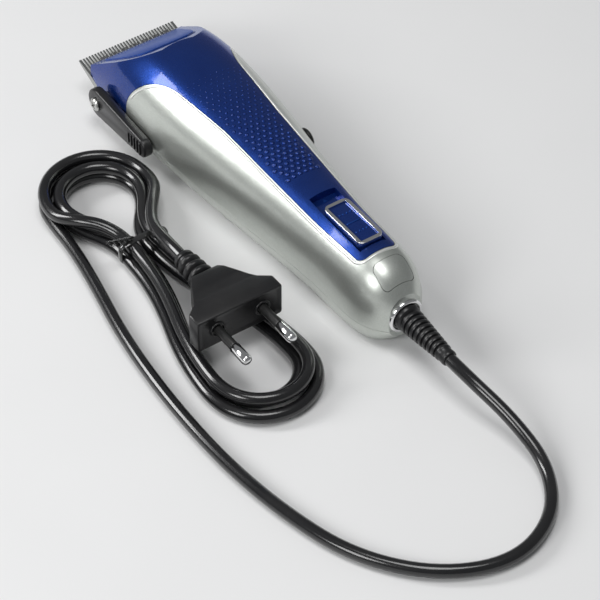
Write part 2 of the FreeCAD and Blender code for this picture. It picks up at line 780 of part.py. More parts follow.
def make_blades():
    """Fixed blade, moving blade and the yoke on it, the guide plate and the leaf spring on that."""
    top = "blade_thick"
    count = "floor(blade_width / tooth_pitch) - 1"
    fixed = toothed_plate("fixed_plate", "blade_width",
                          [("0", "0"), ("blade_length", "0"), ("blade_length", top), ("blade_slope", top),
                           ("0", "tip_thick")], count, "tooth_pitch", "tooth_gap", "tooth_length", "0", "0")
    drilled = sketch(fixed, "blade_holes", "XY_Plane")
    for side in SIDES:
        circle(drilled, (f"{side} * blade_screw_spacing / 2", "blade_screw_back"),
               "screw_head_radius + screw_clearance")
    pocket_through(fixed, drilled, "blade_screw_holes")
    node("fixed_blade", in_blade_plane(fixed))

    low = "blade_thick + blade_clearance"
    high = f"{low} + cutter_thick"
    front = "cutter_setback"
    rear = "cutter_setback + cutter_length"
    cutter_count = "floor(cutter_width / cutter_pitch) - 1"
    slope = f"{front} + cutter_slope"
    cutter = toothed_plate("cutter_plate", "cutter_width",
                           [(front, low), (rear, low), (rear, high), (slope, high),
                            (front, f"{low} + cutter_tip_thick")],
                           cutter_count, "cutter_pitch", "cutter_gap", "cutter_tooth_length",
                           "cutter_centre", front)
    window = sketch(cutter, "cutter_window", "XY_Plane")
    polygon(window, finger_window())
    pocket_through(cutter, window, "finger_window")
    node("moving_blade", in_blade_plane(cutter))

    half = "yoke_width / 2"
    yoke = new_body("yoke")
    outline = sketch(yoke, "yoke_outline", "XY_Plane", high)
    polygon(outline, [(f"cutter_centre - {half}", "yoke_front"), (f"cutter_centre + {half}", "yoke_front"),
                      (f"cutter_centre + {half}", "yoke_rear"), (f"cutter_centre - {half}", "yoke_rear")])
    polygon(outline, finger_window())
    pad(yoke, outline, "yoke_height", "yoke_block")
    node("blade_yoke", in_blade_plane(yoke))

    base = f"{high} + blade_clearance"
    guide = new_body("guide")
    outline = sketch(guide, "guide_outline", "XY_Plane", base)
    edge = "guide_width / 2"
    window = (f"cutter_centre - ({half} + cutter_stroke + yoke_clearance)",
              f"cutter_centre + ({half} + cutter_stroke + yoke_clearance)")
    front = "guide_front"
    bar = "guide_bar_front"
    rear = "guide_bar_front + guide_bar"
    polygon(outline, [(f"-{edge}", front), (window[0], front), (window[0], bar), (window[1], bar),
                      (window[1], front),
                      (edge, front), (edge, rear), (f"-{edge}", rear)])
    pad(guide, outline, "guide_thick", "guide_plate")
    ear = sketch(guide, "ear_outline", "YZ_Plane", f"{edge} - ear_thick")
    polygon(ear, ear_outline(base))
    pad(guide, ear, "ear_thick", "ear")
    node("blade_guide", in_blade_plane(guide))

    spring = new_body("spring")
    outline = sketch(spring, "spring_outline", "XY_Plane", f"{base} + guide_thick")
    near = "spring_inner_half"
    far = "spring_outer_half"
    polygon(outline, [(f"-{far}", "spring_front"), (f"-{near}", "spring_front"),
                      (f"-{near}", "spring_bar_front"),
                      (near, "spring_bar_front"), (near, "spring_front"), (far, "spring_front"),
                      (far, "spring_rear"), (f"-{far}", "spring_rear")])
    pad(spring, outline, "spring_thick", "spring_leaf")
    node("blade_spring", in_blade_plane(spring))


def finger_window():
    """The slot that the drive finger works in: close across, long enough for the taper travel."""
    across = "finger_radius + finger_clearance"
    near = "finger_back - finger_radius - finger_end_gap"
    far = "finger_back + finger_radius + taper_travel + finger_end_gap"
    return [(f"cutter_centre - ({across})", near), (f"cutter_centre + ({across})", near),
            (f"cutter_centre + ({across})", far), (f"cutter_centre - ({across})", far)]


PIVOT_BACK = "(lever_along * cos(blade_angle) - (lever_height - tip_height) * sin(blade_angle))"
PIVOT_UP = "(lever_along * sin(blade_angle) + (lever_height - tip_height) * cos(blade_angle))"


def ear_outline(base):
    """An upright fork on the guide plate that the lever's cam pin works in."""
    near = f"{PIN_BACK} - cam_pin_radius"
    far = f"{PIN_BACK} + cam_pin_radius"
    low = f"{PIN_UP} - cam_pin_radius - fork_depth"
    high = f"{PIN_UP} + cam_pin_radius"
    rear = "guide_bar_front + guide_bar"
    return [(f"{near} - ear_thick", base), (rear, base), (rear, f"{base} + guide_thick"),
            (f"{far} + ear_thick", f"{base} + guide_thick"), (f"{far} + ear_thick", high),
            (f"{far} + running_gap", high), (f"{far} + running_gap", low), (f"{near} - running_gap", low),
            (f"{near} - running_gap", high), (f"{near} - ear_thick", high)]


PIN_BACK = f"({PIVOT_BACK} + cam_radius * sin(cam_lean))"
PIN_UP = f"({PIVOT_UP} + cam_radius * cos(cam_lean))"


# ---------------------------------------------------------------- taper lever
def make_lever():
    """The lever outside the head, its shaft through the wall with a cam pin, and its screw."""
    inside = "head_width / 2 + lever_gap"
    lever = new_body("lever")
    reach = "lever_reach"
    arm = sketch(lever, "lever_arm", "YZ_Plane", inside)
    polygon(arm, [("0", "lever_hub_radius"), ("0", "-lever_hub_radius"), (reach, "-lever_tip_radius"),
                  (reach, "lever_tip_radius")])
    pad(lever, arm, "lever_thick", "arm_pad")
    for name, centre, radius in (("hub", "0", "lever_hub_radius"), ("tip", reach, "lever_tip_radius")):
        disc = sketch(lever, f"lever_{name}", "YZ_Plane", inside)
        circle(disc, (centre, "0"), radius)
        pad(lever, disc, "lever_thick", f"{name}_pad")
    bore = sketch(lever, "lever_bore", "YZ_Plane", "0")
    circle(bore, ("0", "0"), "screw_radius + screw_clearance")
    pocket_through(lever, bore, "lever_screw_hole")
    bind(lever, Placement__Base__y=along("lever_along"), Placement__Base__z="lever_height")
    node("taper_lever", lever)

    ear_face = "guide_width / 2"
    inner_end = (f"{ear_face} + cam_gap", along("lever_along"), "lever_height")
    shaft = rod("shaft_round", "x", inner_end, "shaft_radius", f"{inside} - {ear_face} - cam_gap")
    web = rod("cam_web", "x", inner_end, "cam_radius + cam_pin_radius + web_border", "web_thick")
    pin = rod("cam_pin", "x", (f"{ear_face} - cam_pin_back",
                               f"{along('lever_along')} + cam_radius * sin(blade_angle + cam_lean)",
                               "lever_height + cam_radius * cos(blade_angle + cam_lean)"),
              "cam_pin_radius", "cam_pin_length")
    thread = rod("shaft_thread", "x", (f"{inside} - thread_depth", along("lever_along"), "lever_height"),
                 "screw_radius + screw_clearance", "thread_depth + lever_thick")
    node("lever_cam", cut("lever_cam", fuse("cam_blank", shaft, web, pin), thread))
    head = screw("lever_screw", "x", ("0", along("lever_along"), "lever_height"),
                 "lever_thick + lever_screw_bite")
    head.Placement = Placement(Vector(), Rotation(Vector(0, 1, 0), -90))
    bind(head, Placement__Base__x=f"{inside} + lever_thick + screw_head_height",
         Placement__Base__y=along("lever_along"), Placement__Base__z="lever_height")
    node("lever_screw", head)


# ---------------------------------------------------------------- motor
def make_motor():
    """Armature arm with its finger, laminations, leaf and clamp, and the stator with its coil."""
    rear = "arm_front_along + arm_length"
    arm = box("arm_bar", ARM_X, (along("arm_front_along"), along(rear)), ("arm_low", "arm_high"))
    nose = box("arm_nose", (ARM_X[0], "cutter_centre + nose_half"),
               (along("nose_along"), along("arm_front_along + nose_overlap")),
               ("arm_low", "arm_low + nose_height"))
    finger = tip_rod(rod("finger", "z", ("0", "0", "0"), "finger_radius", "finger_length"), "cutter_centre",
                     "finger_back", "blade_thick + finger_lift")
    node("armature_arm", fuse("armature_arm", arm, nose, finger))
    low = "motor_height - stack_height / 2"
    high = "motor_height + stack_height / 2"
    node("armature_core", box("armature_core", (ARM_X[1], "core_inner - air_gap"),
                              (along("core_along"), along(CORE_REAR)), (low, high)))

    back = box("core_bar", ("core_back", "core_outer"), (along("core_along"), along(CORE_REAR)), (low, high))
    starts = ["core_along", "core_along + pole_width + window_width", f"{CORE_REAR} - pole_width"]
    widths = ["pole_width", "middle_pole_width", "pole_width"]
    legs = []
    for i, (start, width) in enumerate(zip(starts, widths)):
        legs.append(box(f"pole{i}", ("core_inner", "core_back"), (along(start), along(f"{start} + {width}")),
                        (low, high)))
    bores = [rod(f"core_bore{i}", "z", (across, along(place), "0"), "screw_radius + screw_clearance", FAR)
             for i, (across, place, _) in enumerate(POSTS)]
    node("stator_core", cut("stator_core", fuse("core_blank", back, *legs), *bores))
    shanks = []
    for i, (across, place, _) in enumerate(POSTS):
        one = screw(f"core_screw{i}", "z", ("0", "0", "0"), "stack_height + core_screw_bite",
                    "core_screw_radius", "core_screw_head")
        one.Placement = Placement(Vector(), Rotation(Vector(1, 0, 0), 180))
        bind(one, Placement__Base__x=across, Placement__Base__y=along(place),
             Placement__Base__z=f"{high} + screw_head_height")
        shanks.append(one)
    node("core_screws", fuse("core_screws", *shanks))

    gap = "bobbin_gap"
    reach = ("core_inner + bobbin_front", "core_back - bobbin_rear_gap")
    middle = (f"{starts[1]} - {gap}", f"{starts[1]} + middle_pole_width + {gap}")
    hole = box("bobbin_hole", ("0", FAR), (along(middle[0]), along(middle[1])),
               (f"{low} - {gap}", f"{high} + {gap}"))
    tube = box("bobbin_tube", reach, (along(f"{middle[0]} - bobbin_wall"),
                                      along(f"{middle[1]} + bobbin_wall")),
               (f"{low} - {gap} - bobbin_wall", f"{high} + {gap} + bobbin_wall"))
    cheeks = []
    deep = "bobbin_wall + winding_depth"
    for i, start in enumerate((reach[0], f"{reach[1]} - bobbin_wall")):
        cheeks.append(box(f"cheek{i}", (start, f"{start} + bobbin_wall"),
                          (along(f"{middle[0]} - ({deep})"), along(f"{middle[1]} + {deep}")),
                          (f"{low} - {gap} - ({deep})", f"{high} + {gap} + {deep}")))
    node("coil_bobbin", cut("coil_bobbin", fuse("bobbin_blank", tube, *cheeks), hole))
    wound = (f"{reach[0]} + bobbin_wall", f"{reach[1]} - bobbin_wall")
    thin = "winding_depth - cheek_lip + bobbin_wall"
    block = box("winding_block", wound, (along(f"{middle[0]} - ({thin})"), along(f"{middle[1]} + {thin}")),
                (f"{low} - {gap} - ({thin})", f"{high} + {gap} + {thin}"))
    rounded = fillet("winding_rounded", block, size["winding_round"], lambda edge: edge.BoundBox.XLength > 4)
    core = box("winding_hole", ("0", FAR), (along(f"{middle[0]} - bobbin_wall"),
                                            along(f"{middle[1]} + bobbin_wall")),
               (f"{low} - {gap} - bobbin_wall", f"{high} + {gap} + bobbin_wall"))
    node("coil_winding", cut("coil_winding", rounded, core))
    make_arm_mount()


def make_arm_mount():
    """The leaf that carries the arm, its clamp block, plate and screws, and the rivets in the arm."""
    rear = "arm_front_along + arm_length"
    leaf = (f"{ARM_X[0]} - leaf_thick", ARM_X[0])
    node("armature_leaf", box("armature_leaf", leaf, (along(f"{rear} - leaf_overlap"), along(CLAMP_Y[1])),
                              ("arm_low + leaf_edge", "arm_high - leaf_edge")))
    held = (along(CLAMP_Y[0]), along(CLAMP_Y[1]))
    outside = f"{leaf[0]} - clamp_plate_thick"
    node("clamp_block", box("clamp_block", CLAMP_X, held, ("arm_low - clamp_drop", "arm_high")))
    node("clamp_plate", box("clamp_plate", (outside, leaf[0]), held, ("arm_low", "arm_high")))
    screws = []
    rivets = []
    for i, up in enumerate(("arm_low + clamp_screw_inset", "arm_high - clamp_screw_inset")):
        screws.append(rod(f"clamp_screw{i}", "x", (f"{outside} - clamp_head_height",
                                                   along(f"{CLAMP_Y[0]} + clamp_length / 2"), up),
                          "clamp_head_radius", "clamp_head_height"))
    for i, place in enumerate((f"{rear} - rivet_inset", f"{rear} - rivet_inset - rivet_spacing")):
        rivets.append(rod(f"rivet{i}", "x", (f"{leaf[0]} - rivet_head_height", along(place),
                                             "(arm_low + arm_high) / 2"), "rivet_radius",
                          "rivet_head_height"))
    node("clamp_screws", fuse("clamp_screws", *screws))
    node("arm_rivets", fuse("arm_rivets", *rivets))

    face = f"-{POWER_FACE:.3f}"
    node("power_pad", rod("power_pad", "x", (f"{ARM_X[0]} - pad_gap - pad_length", along("power_along"),
                                            "motor_height"), "power_radius + pad_border", "pad_length"))
    head = "power_head_height"
    shank = f"{head} + {POWER_FACE:.3f} + ({ARM_X[0]}) - pad_gap - pad_length"
    node("power_screw", turned("power_screw", "x", (f"{face} - {head}", along("power_along"), "motor_height"),
                               [("0", "0"), ("0", "power_head_radius - power_bevel"),
                                ("power_bevel", "power_head_radius"), (head, "power_head_radius"),
                                (head, "power_radius"), (shank, "power_radius"), (shank, "0")]))


POWER_FACE = section(size["power_along"], 0)[0] + size["power_gap"]


# ---------------------------------------------------------------- switch
def make_switch():
    """Slider with its ring and inner actuator, the switch body with a well for it, and two tabs."""
    half = "slider_width / 2"
    end = "slider_along + slider_length"
    block = box("slider_block", (f"-{half}", half), (along("slider_along"), along(end)),
                ("slider_low", "slider_high"))
    plate = fillet("slider_plate", block, size["slider_round"], lambda edge: edge.BoundBox.ZLength > 1)
    stem = box("slider_stem", ("-stem_width / 2", "stem_width / 2"),
               (along(STEM), along(f"{STEM} + stem_length")),
               ("switch_high + actuator_lift", "slider_low + stem_bite"))
    node("switch_slider", fuse("switch_slider", plate, stem))
    ring = box("ring_block", (f"-{half}", half), (along("slider_along"), along(end)),
               ("slider_high", "slider_high + ring_height"))
    rounded = fillet("ring_round", ring, size["slider_round"], lambda edge: edge.BoundBox.ZLength > 0.5)
    hole = box("ring_hole", (f"-({half} - ring_border)", f"{half} - ring_border"),
               (along("slider_along + ring_border"), along(f"{end} - ring_border")), ("slider_low", FAR))
    node("switch_ring", cut("switch_ring", rounded, hole))
    reach = (f"{STEM} - actuator_border", f"{STEM} + stem_length + actuator_border")
    node("switch_actuator", box("switch_actuator", ("-actuator_half", "actuator_half"),
                                (along(reach[0]), along(reach[1])),
                                ("switch_high - actuator_depth", "switch_high + actuator_lift")))
    start = f"{STEM} - switch_front"
    body = box("switch_block", ("-switch_width / 2", "switch_width / 2"),
               (along(start), along(f"{start} + switch_length")), ("switch_low", "switch_high"))
    well = box("switch_well", ("-actuator_half - stem_gap", "actuator_half + stem_gap"),
               (along(f"{reach[0]} - slider_travel - slider_side_gap"),
                along(f"{reach[1]} + slider_side_gap")),
               ("switch_high - actuator_depth - stem_gap", FAR))
    node("switch_body", cut("switch_body", body, well))
    tabs = []
    rear = f"{start} + switch_length"
    for i, across in enumerate(("-terminal_offset - terminal_width", "terminal_offset")):
        tabs.append(box(f"tab{i}", (across, f"{across} + terminal_width"),
                        (along(rear), along(f"{rear} + terminal_length")),
                        ("terminal_height", "terminal_height + terminal_thick")))
    node("switch_terminals", fuse("switch_terminals", *tabs))


# ---------------------------------------------------------------- cord, relief and plug
def bend_path(points, label):
    """Straight runs joined by tangent arcs: each radius is 0.45 of the shorter run over tan(half turn)."""
    edges = []
    start = points[0]
    for i in range(1, len(points) - 1):
        before = points[i] - points[i - 1]
        after = points[i + 1] - points[i]
        shorter = min(before.Length, after.Length)
        turn = before.getAngle(after)
        setback = 0.45 * shorter
        radius = setback / math.tan(turn / 2)
        print(f"{label} bend {i}: radius {radius:.1f} mm, turn {math.degrees(turn):.0f} deg")
        first = points[i] - before.normalize() * setback
        last = points[i] + after.normalize() * setback
        towards = ((first + last) * 0.5 - points[i]).normalize()
        middle = points[i] + towards * (radius / math.cos(turn / 2) - radius)
        edges.append(Part.LineSegment(start, first).toShape())
        edges.append(Part.Arc(first, middle, last).toShape())
        start = last
    edges.append(Part.LineSegment(start, points[-1]).toShape())
    return Part.Wire(edges)


def tube(name, points, radius):
    """A round solid along a bent path, with its volume checked against section times length."""
    path = bend_path([Vector(*point) for point in points], name)
    direction = (Vector(*points[1]) - Vector(*points[0])).normalize()
    profile = Part.Wire([Part.Circle(Vector(*points[0]), direction, radius).toShape()])
    solid = path.makePipeShell([profile], True, False)
    share = solid.Volume / (math.pi * radius ** 2 * path.Length)
    print(f"{name}: {path.Length:.1f} mm long, volume share {share:.4f}")
    if abs(share - 1) > 0.01:
        raise RuntimeError(f"{name} has the wrong volume")
    thing = doc.addObject("Part::Feature", name)
    thing.Shape = solid
    return thing


TAIL = size["overall_length"] / 2
RELIEF_END = TAIL + size["relief_length"]
FLOOR = size["cord_diameter"] / 2 + 0.2
LEAD = [(0, RELIEF_END, size["cord_height"]), (0, RELIEF_END + 11, size["cord_height"]),
        (-4, RELIEF_END + 30, 8.4), (-4, RELIEF_END + 50, FLOOR + 0.4), (8, RELIEF_END + 68, FLOOR),
        (30, RELIEF_END + 76, FLOOR), (54, 184, FLOOR), (72, 162, FLOOR), (80, 134, FLOOR), (84, 104, FLOOR),
        (84, 70, FLOOR), (81, 36, FLOOR), (75, 6, FLOOR + 0.2), (70, -20, FLOOR + 0.2)]


def make_cord():
    """Strain relief in the tail, the lead on the surface, the tied hank and the cord's end at the plug."""
    back = "-wall - flange_reach"
    inside = "-wall - relief_gap"
    outline = [(back, "relief_flange_radius"), (inside, "relief_flange_radius"),
               (inside, "relief_neck_radius"),
               ("relief_gap", "relief_neck_radius"), ("relief_gap", "relief_base_radius"),
               ("relief_base_length", "relief_base_radius"), ("relief_length", "relief_end_radius"),
               ("relief_length", "0"), (back, "0")]
    node("strain_relief", turned("strain_relief", "y", ("0", along("overall_length"), "cord_height"),
                                 outline))
    node("cord_lead", tube("cord_lead", LEAD, size["cord_diameter"] / 2))

    centre = size["hank_centre"]
    half = size["hank_half"]
    front = size["hank_front"] + half
    rear = size["hank_rear"] - half
    tie = size["tie_place"]
    waist = size["tied_half"]
    flat = size["tie_width"]
    right = [Vector(centre + half, front, 0), Vector(centre + waist, tie - flat, 0),
             Vector(centre + waist, tie + flat, 0), Vector(centre + half, rear, 0)]
    left = [Vector(2 * centre - point.x, point.y, 0) for point in reversed(right)]
    edges = [Part.LineSegment(a, b).toShape() for a, b in zip(right, right[1:])]
    edges.append(Part.Arc(right[-1], Vector(centre, rear + half, 0), left[0]).toShape())
    edges += [Part.LineSegment(a, b).toShape() for a, b in zip(left, left[1:])]
    edges.append(Part.Arc(left[-1], Vector(centre, front - half, 0), right[0]).toShape())
    hank = doc.addObject("Part::Feature", "hank_blank")
    hank.Shape = Part.Face(Part.Wire(edges)).extrude(Vector(0, 0, size["hank_height"]))
    groove = ("tie_place - tie_width / 2 - tie_gap", "tie_place + tie_width / 2 + tie_gap")
    around = box("groove_outer", ENDLESS, groove, ENDLESS)
    core = tied_block("groove_inner", "tie_thick + 2 * tie_gap", ENDLESS)
    node("cord_hank", cut("cord_hank", hank, cut("tie_groove", around, core)))
    width = ("tie_place - tie_width / 2", "tie_place + tie_width / 2")
    node("hank_tie", cut("hank_tie", tied_block("tie_outer", "tie_gap", width),
                         tied_block("tie_inner", "tie_thick + tie_gap", ENDLESS)))
    end = size["plug_rear"]
    across = size["plug_centre"]
    climb = [(across, end - 62, 7.0), (across + 0.4, end - 40, 9.6), (across, end - 22, 14.4),
             (across, end - 6, size["plug_height"]), (across, end, size["plug_height"])]
    node("cord_end", tube("cord_end", climb, size["cord_diameter"] / 2))


def tied_block(name, inset, reach):
    """A block as wide and high as the tied bundle, drawn in by an inset."""
    return box(name, (f"hank_centre - tied_half + {inset}", f"hank_centre + tied_half - ({inset})"), reach,
               (inset, f"hank_height - ({inset})"))


def make_plug():
    """A two-pin plug with a flared body, a ribbed neck, two insulating sleeves and two pins."""
    rear = "plug_rear"
    shoulder = "plug_rear + plug_neck_length"
    face = "plug_rear + plug_neck_length + plug_body_length"
    neck = rod("plug_neck", "y", ("plug_centre", rear, "plug_height"), "plug_neck_radius",
               "plug_neck_length + neck_bite", "plug_neck_radius + neck_flare")
    body = new_body("plug_block")
    outline = sketch(body, "plug_outline", "XY_Plane", "plug_height - plug_thick / 2")
    half = "plug_width / 2"
    right = [("plug_rear_half", shoulder), (f"{half} - plug_flare", f"{face} - plug_flare_start"),
             (half, f"{face} - plug_flare_end"), (half, face)]
    polygon(outline, [(f"plug_centre + {across}", place) for across, place in right] +
            [(f"plug_centre - ({across})", place) for across, place in reversed(right)])
    pad(body, outline, "plug_thick", "plug_pad")
    edged = fillet("plug_edged", body, size["plug_round"], lambda edge: edge.BoundBox.ZLength < 0.01)
    solid = fuse("plug_solid", edged, neck)
    pins = []
    sleeves = []
    seats = []
    for i, side in enumerate(SIDES):
        across = f"plug_centre + {side} * pin_spacing / 2"
        seat = (across, f"{face} - pin_seat", "plug_height")
        sleeved = "pin_seat + sleeve_length"
        seats.append(rod(f"pin_seat{i}", "y", seat, "pin_radius", FAR))
        pins.append(rod(f"pin_tip{i}", "y", (across, f"{face} + sleeve_length", "plug_height"), "pin_radius",
                        "pin_length - sleeve_length"))
        pins.append(rod(f"pin_core{i}", "y", seat, "pin_core_radius", sleeved))
        whole = rod(f"sleeve_out{i}", "y", seat, "sleeve_radius", sleeved)
        sleeves.append(cut(f"sleeve{i}", whole, rod(f"sleeve_bore{i}", "y", seat, "pin_core_radius",
                                                    sleeved)))
    node("plug_body", cut("plug_body", solid, *seats))
    node("pin_sleeves", fuse("pin_sleeves", *sleeves))
    node("plug_pins", fuse("plug_pins", *pins))


def make_wires():
    """Insulated wires from the strain relief to the switch, and along the shell to the coil."""
    start = TAIL - size["wall"] - size["wire_start"]
    short = [(-2.2, start, 14.0), (-2.6, start - 2.2, 14.6), (-3.3, start - 5.0, 16.0),
             (-3.3, start - 7.6, 18.4)]
    long_run = [(2.2, start, 14.0), (4.0, start - 4.6, 11.0), (4.25, start - 14.6, 7.2), (4.25, 54.0, 6.0),
                (4.5, 36.0, 6.2), (6.6, 18.0, 7.0), (7.6, 8.0, 8.4), (7.8, -2.0, 9.2)]
    radius = size["wire_radius"]
    node("inner_wires", fuse("inner_wires", tube("short_wire", short, radius),
                             tube("long_wire", long_run, radius)))


def main():
    make_housing()
    make_screws()
    make_blades()
    make_lever()
    make_motor()
    make_switch()
    make_cord()
    make_plug()
    make_wires()
    doc.recompute()
    for thing in doc.Objects:
        if "Invalid" in thing.State or "Error" in thing.State:
            raise RuntimeError(f"{thing.Name} failed: {thing.State}")
    os.makedirs("parts", exist_ok=True)
    for thing in NODES:
        if thing.Shape.isNull() or not thing.Shape.isValid() or not thing.Shape.Solids:
            raise RuntimeError(f"{thing.Label} has no valid shape")
    for thing in NODES:
        thing.Shape.exportStep(f"parts/{thing.Label}.step")
        box_size = thing.Shape.BoundBox
        print(f"{thing.Label}: {len(thing.Shape.Solids)} solids, {thing.Shape.Volume:.0f} mm3, "
              f"x {box_size.XMin:.1f}..{box_size.XMax:.1f} y {box_size.YMin:.1f}..{box_size.YMax:.1f} "
              f"z {box_size.ZMin:.1f}..{box_size.ZMax:.1f}")
    print(len(NODES), "nodes")


main()
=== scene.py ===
# %% [markdown]
# # A mains hair clipper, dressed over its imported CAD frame
# Every CAD piece arrives as a mesh that already sits in the right place, in metres. This script gives each of
# them a finish, swaps the soft or plain ones for detailed pieces, and sets up a floor, lights and a camera.
# The clipper lies on its underside: the blade points to -Y, the cord leaves towards +Y, the lever is on +X.

# %% Load the frame
import json
import math

import bpy
import bmesh
from mathutils import Matrix, Quaternion, Vector

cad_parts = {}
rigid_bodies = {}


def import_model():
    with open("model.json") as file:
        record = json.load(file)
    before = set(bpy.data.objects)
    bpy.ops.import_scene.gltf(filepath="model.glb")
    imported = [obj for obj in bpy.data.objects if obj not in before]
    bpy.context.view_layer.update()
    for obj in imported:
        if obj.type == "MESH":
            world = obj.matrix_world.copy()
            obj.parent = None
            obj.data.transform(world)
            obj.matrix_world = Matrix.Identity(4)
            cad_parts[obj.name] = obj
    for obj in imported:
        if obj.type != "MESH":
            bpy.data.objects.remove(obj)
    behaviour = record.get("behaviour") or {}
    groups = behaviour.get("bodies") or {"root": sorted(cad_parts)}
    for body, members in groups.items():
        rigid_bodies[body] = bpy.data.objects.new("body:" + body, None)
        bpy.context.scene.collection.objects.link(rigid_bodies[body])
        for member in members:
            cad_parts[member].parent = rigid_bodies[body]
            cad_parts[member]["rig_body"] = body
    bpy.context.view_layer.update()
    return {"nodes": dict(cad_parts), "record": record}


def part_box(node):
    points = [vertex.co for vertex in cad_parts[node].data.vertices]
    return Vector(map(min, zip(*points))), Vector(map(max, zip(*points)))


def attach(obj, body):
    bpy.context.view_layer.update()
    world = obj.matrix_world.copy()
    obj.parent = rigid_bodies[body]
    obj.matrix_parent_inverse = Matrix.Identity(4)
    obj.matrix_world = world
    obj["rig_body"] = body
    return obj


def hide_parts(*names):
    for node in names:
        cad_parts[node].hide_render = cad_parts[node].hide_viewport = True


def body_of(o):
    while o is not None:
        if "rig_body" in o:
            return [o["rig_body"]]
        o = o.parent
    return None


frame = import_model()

MM = 0.001

# %% [markdown]
# ## Small helpers
# Blender's operators act on whatever is selected, and loading the frame leaves all of its pieces selected. So
# every primitive starts from an empty selection. A finished piece has its place in its own points, with its
# object at the origin, as the CAD pieces have.


# %% Selection and finishing helpers
def nothing_selected():
    """Leaves edit mode and selects nothing."""
    if bpy.context.object and bpy.context.object.mode != "OBJECT":
        bpy.ops.object.mode_set(mode="OBJECT")
    bpy.ops.object.select_all(action="DESELECT")


def only(piece):
    """Selects one piece and makes it active."""
    nothing_selected()
    piece.select_set(True)
    bpy.context.view_layer.objects.active = piece
    return piece


def settle(piece, name):
    """Names a piece and moves its place, turn and size into its mesh."""
    only(piece)
    bpy.ops.object.transform_apply(location=True, rotation=True, scale=True)
    piece.name = name
    piece.data.name = name
    return piece


def apply_modifier(piece, kind, **values):
    """Adds a modifier, sets it and applies it at once."""
    only(piece)
    modifier = piece.modifiers.new(kind.title(), kind)
    for key, value in values.items():
        setattr(modifier, key, value)
    bpy.ops.object.modifier_apply(modifier=modifier.name)
    return piece


def smooth(piece, degrees=35.0):
    """Smooth shading, with creases where faces meet at more than an angle."""
    only(piece)
    bpy.ops.object.shade_smooth_by_angle(angle=math.radians(degrees))
    return piece


def joined(pieces, name):
    """Several pieces of one material as one object."""
    nothing_selected()
    for piece in pieces:
        piece.select_set(True)
    bpy.context.view_layer.objects.active = pieces[0]
    if len(pieces) > 1:
        bpy.ops.object.join()
    return settle(bpy.context.object, name)


def fix_normals(piece):
    """Merges doubled points and points every face outwards."""
    only(piece)
    bpy.ops.object.mode_set(mode="EDIT")
    bpy.ops.mesh.select_all(action="SELECT")
    bpy.ops.mesh.remove_doubles(threshold=0.005 * MM)
    bpy.ops.mesh.normals_make_consistent(inside=False)
    bpy.ops.object.mode_set(mode="OBJECT")
    return piece


def pick_faces(piece, test):
    """In edit mode, selects the faces whose centre and normal pass a test, and nothing else."""
    bpy.ops.mesh.select_mode(type="FACE")
    bpy.ops.mesh.select_all(action="DESELECT")
    mesh = bmesh.from_edit_mesh(piece.data)
    for face in mesh.faces:
        face.select_set(bool(test(face.calc_center_median(), face.normal)))
    mesh.select_flush_mode()
    bmesh.update_edit_mesh(piece.data)


def drawn_rings(name, axis, start, rings, sides=40, closed=True):
    """A round piece drawn ring by ring: a circle is extruded along an axis and scaled at each step.
    rings is a list of (distance along the axis, radius)."""
    turn = {"x": (0, math.pi / 2, 0), "y": (-math.pi / 2, 0, 0), "z": (0, 0, 0)}[axis]
    way = {"x": Vector((1, 0, 0)), "y": Vector((0, 1, 0)), "z": Vector((0, 0, 1))}[axis]
    nothing_selected()
    place = Vector(start) + way * rings[0][0]
    bpy.ops.mesh.primitive_circle_add(vertices=sides, radius=rings[0][1], location=place, rotation=turn,
                                      fill_type="NGON" if closed else "NOTHING")
    piece = settle(bpy.context.object, name)
    bpy.ops.object.mode_set(mode="EDIT")
    bpy.ops.mesh.select_mode(type="EDGE")
    bpy.ops.mesh.select_all(action="SELECT")
    for (before, old), (after, new) in zip(rings, rings[1:]):
        bpy.ops.mesh.extrude_edges_move(TRANSFORM_OT_translate={"value": way * (after - before)})
        bpy.ops.transform.resize(value=(new / old,) * 3, center_override=Vector(start) + way * after)
    if closed:
        bpy.ops.mesh.edge_face_add()
    bpy.ops.object.mode_set(mode="OBJECT")
    return smooth(fix_normals(piece), 40)


def cad_copy(node, name):
    """A copy of a CAD piece with its loose triangles merged and its flat faces made whole."""
    piece = bpy.data.objects.new(name, frame["nodes"][node].data.copy())
    bpy.context.scene.collection.objects.link(piece)
    piece.data.name = name
    piece.data.materials.clear()
    only(piece)
    bpy.ops.mesh.customdata_custom_splitnormals_clear()
    bpy.ops.object.mode_set(mode="EDIT")
    bpy.ops.mesh.select_all(action="SELECT")
    bpy.ops.mesh.remove_doubles(threshold=0.004 * MM)
    bpy.ops.mesh.dissolve_limited(angle_limit=math.radians(0.5))
    bpy.ops.object.mode_set(mode="OBJECT")
    return piece


def softened(node, name, width, segments=2, degrees=35.0):
    """A CAD piece with its sharp edges broken, as moulding and tumbling leave them."""
    piece = cad_copy(node, name)
    apply_modifier(piece, "BEVEL", width=width, segments=segments, limit_method="ANGLE",
                   angle_limit=math.radians(degrees), use_clamp_overlap=True, harden_normals=False)
    return smooth(piece, degrees)


# %% [markdown]
# ## Camera
# A long lens far away keeps the clipper's sides nearly parallel. The camera looks from behind, over the side
# with the lever. It starts at a rough distance and is then centred and moved back in a few passes, because in
# perspective the near end of the cord takes up more room than the far blade.

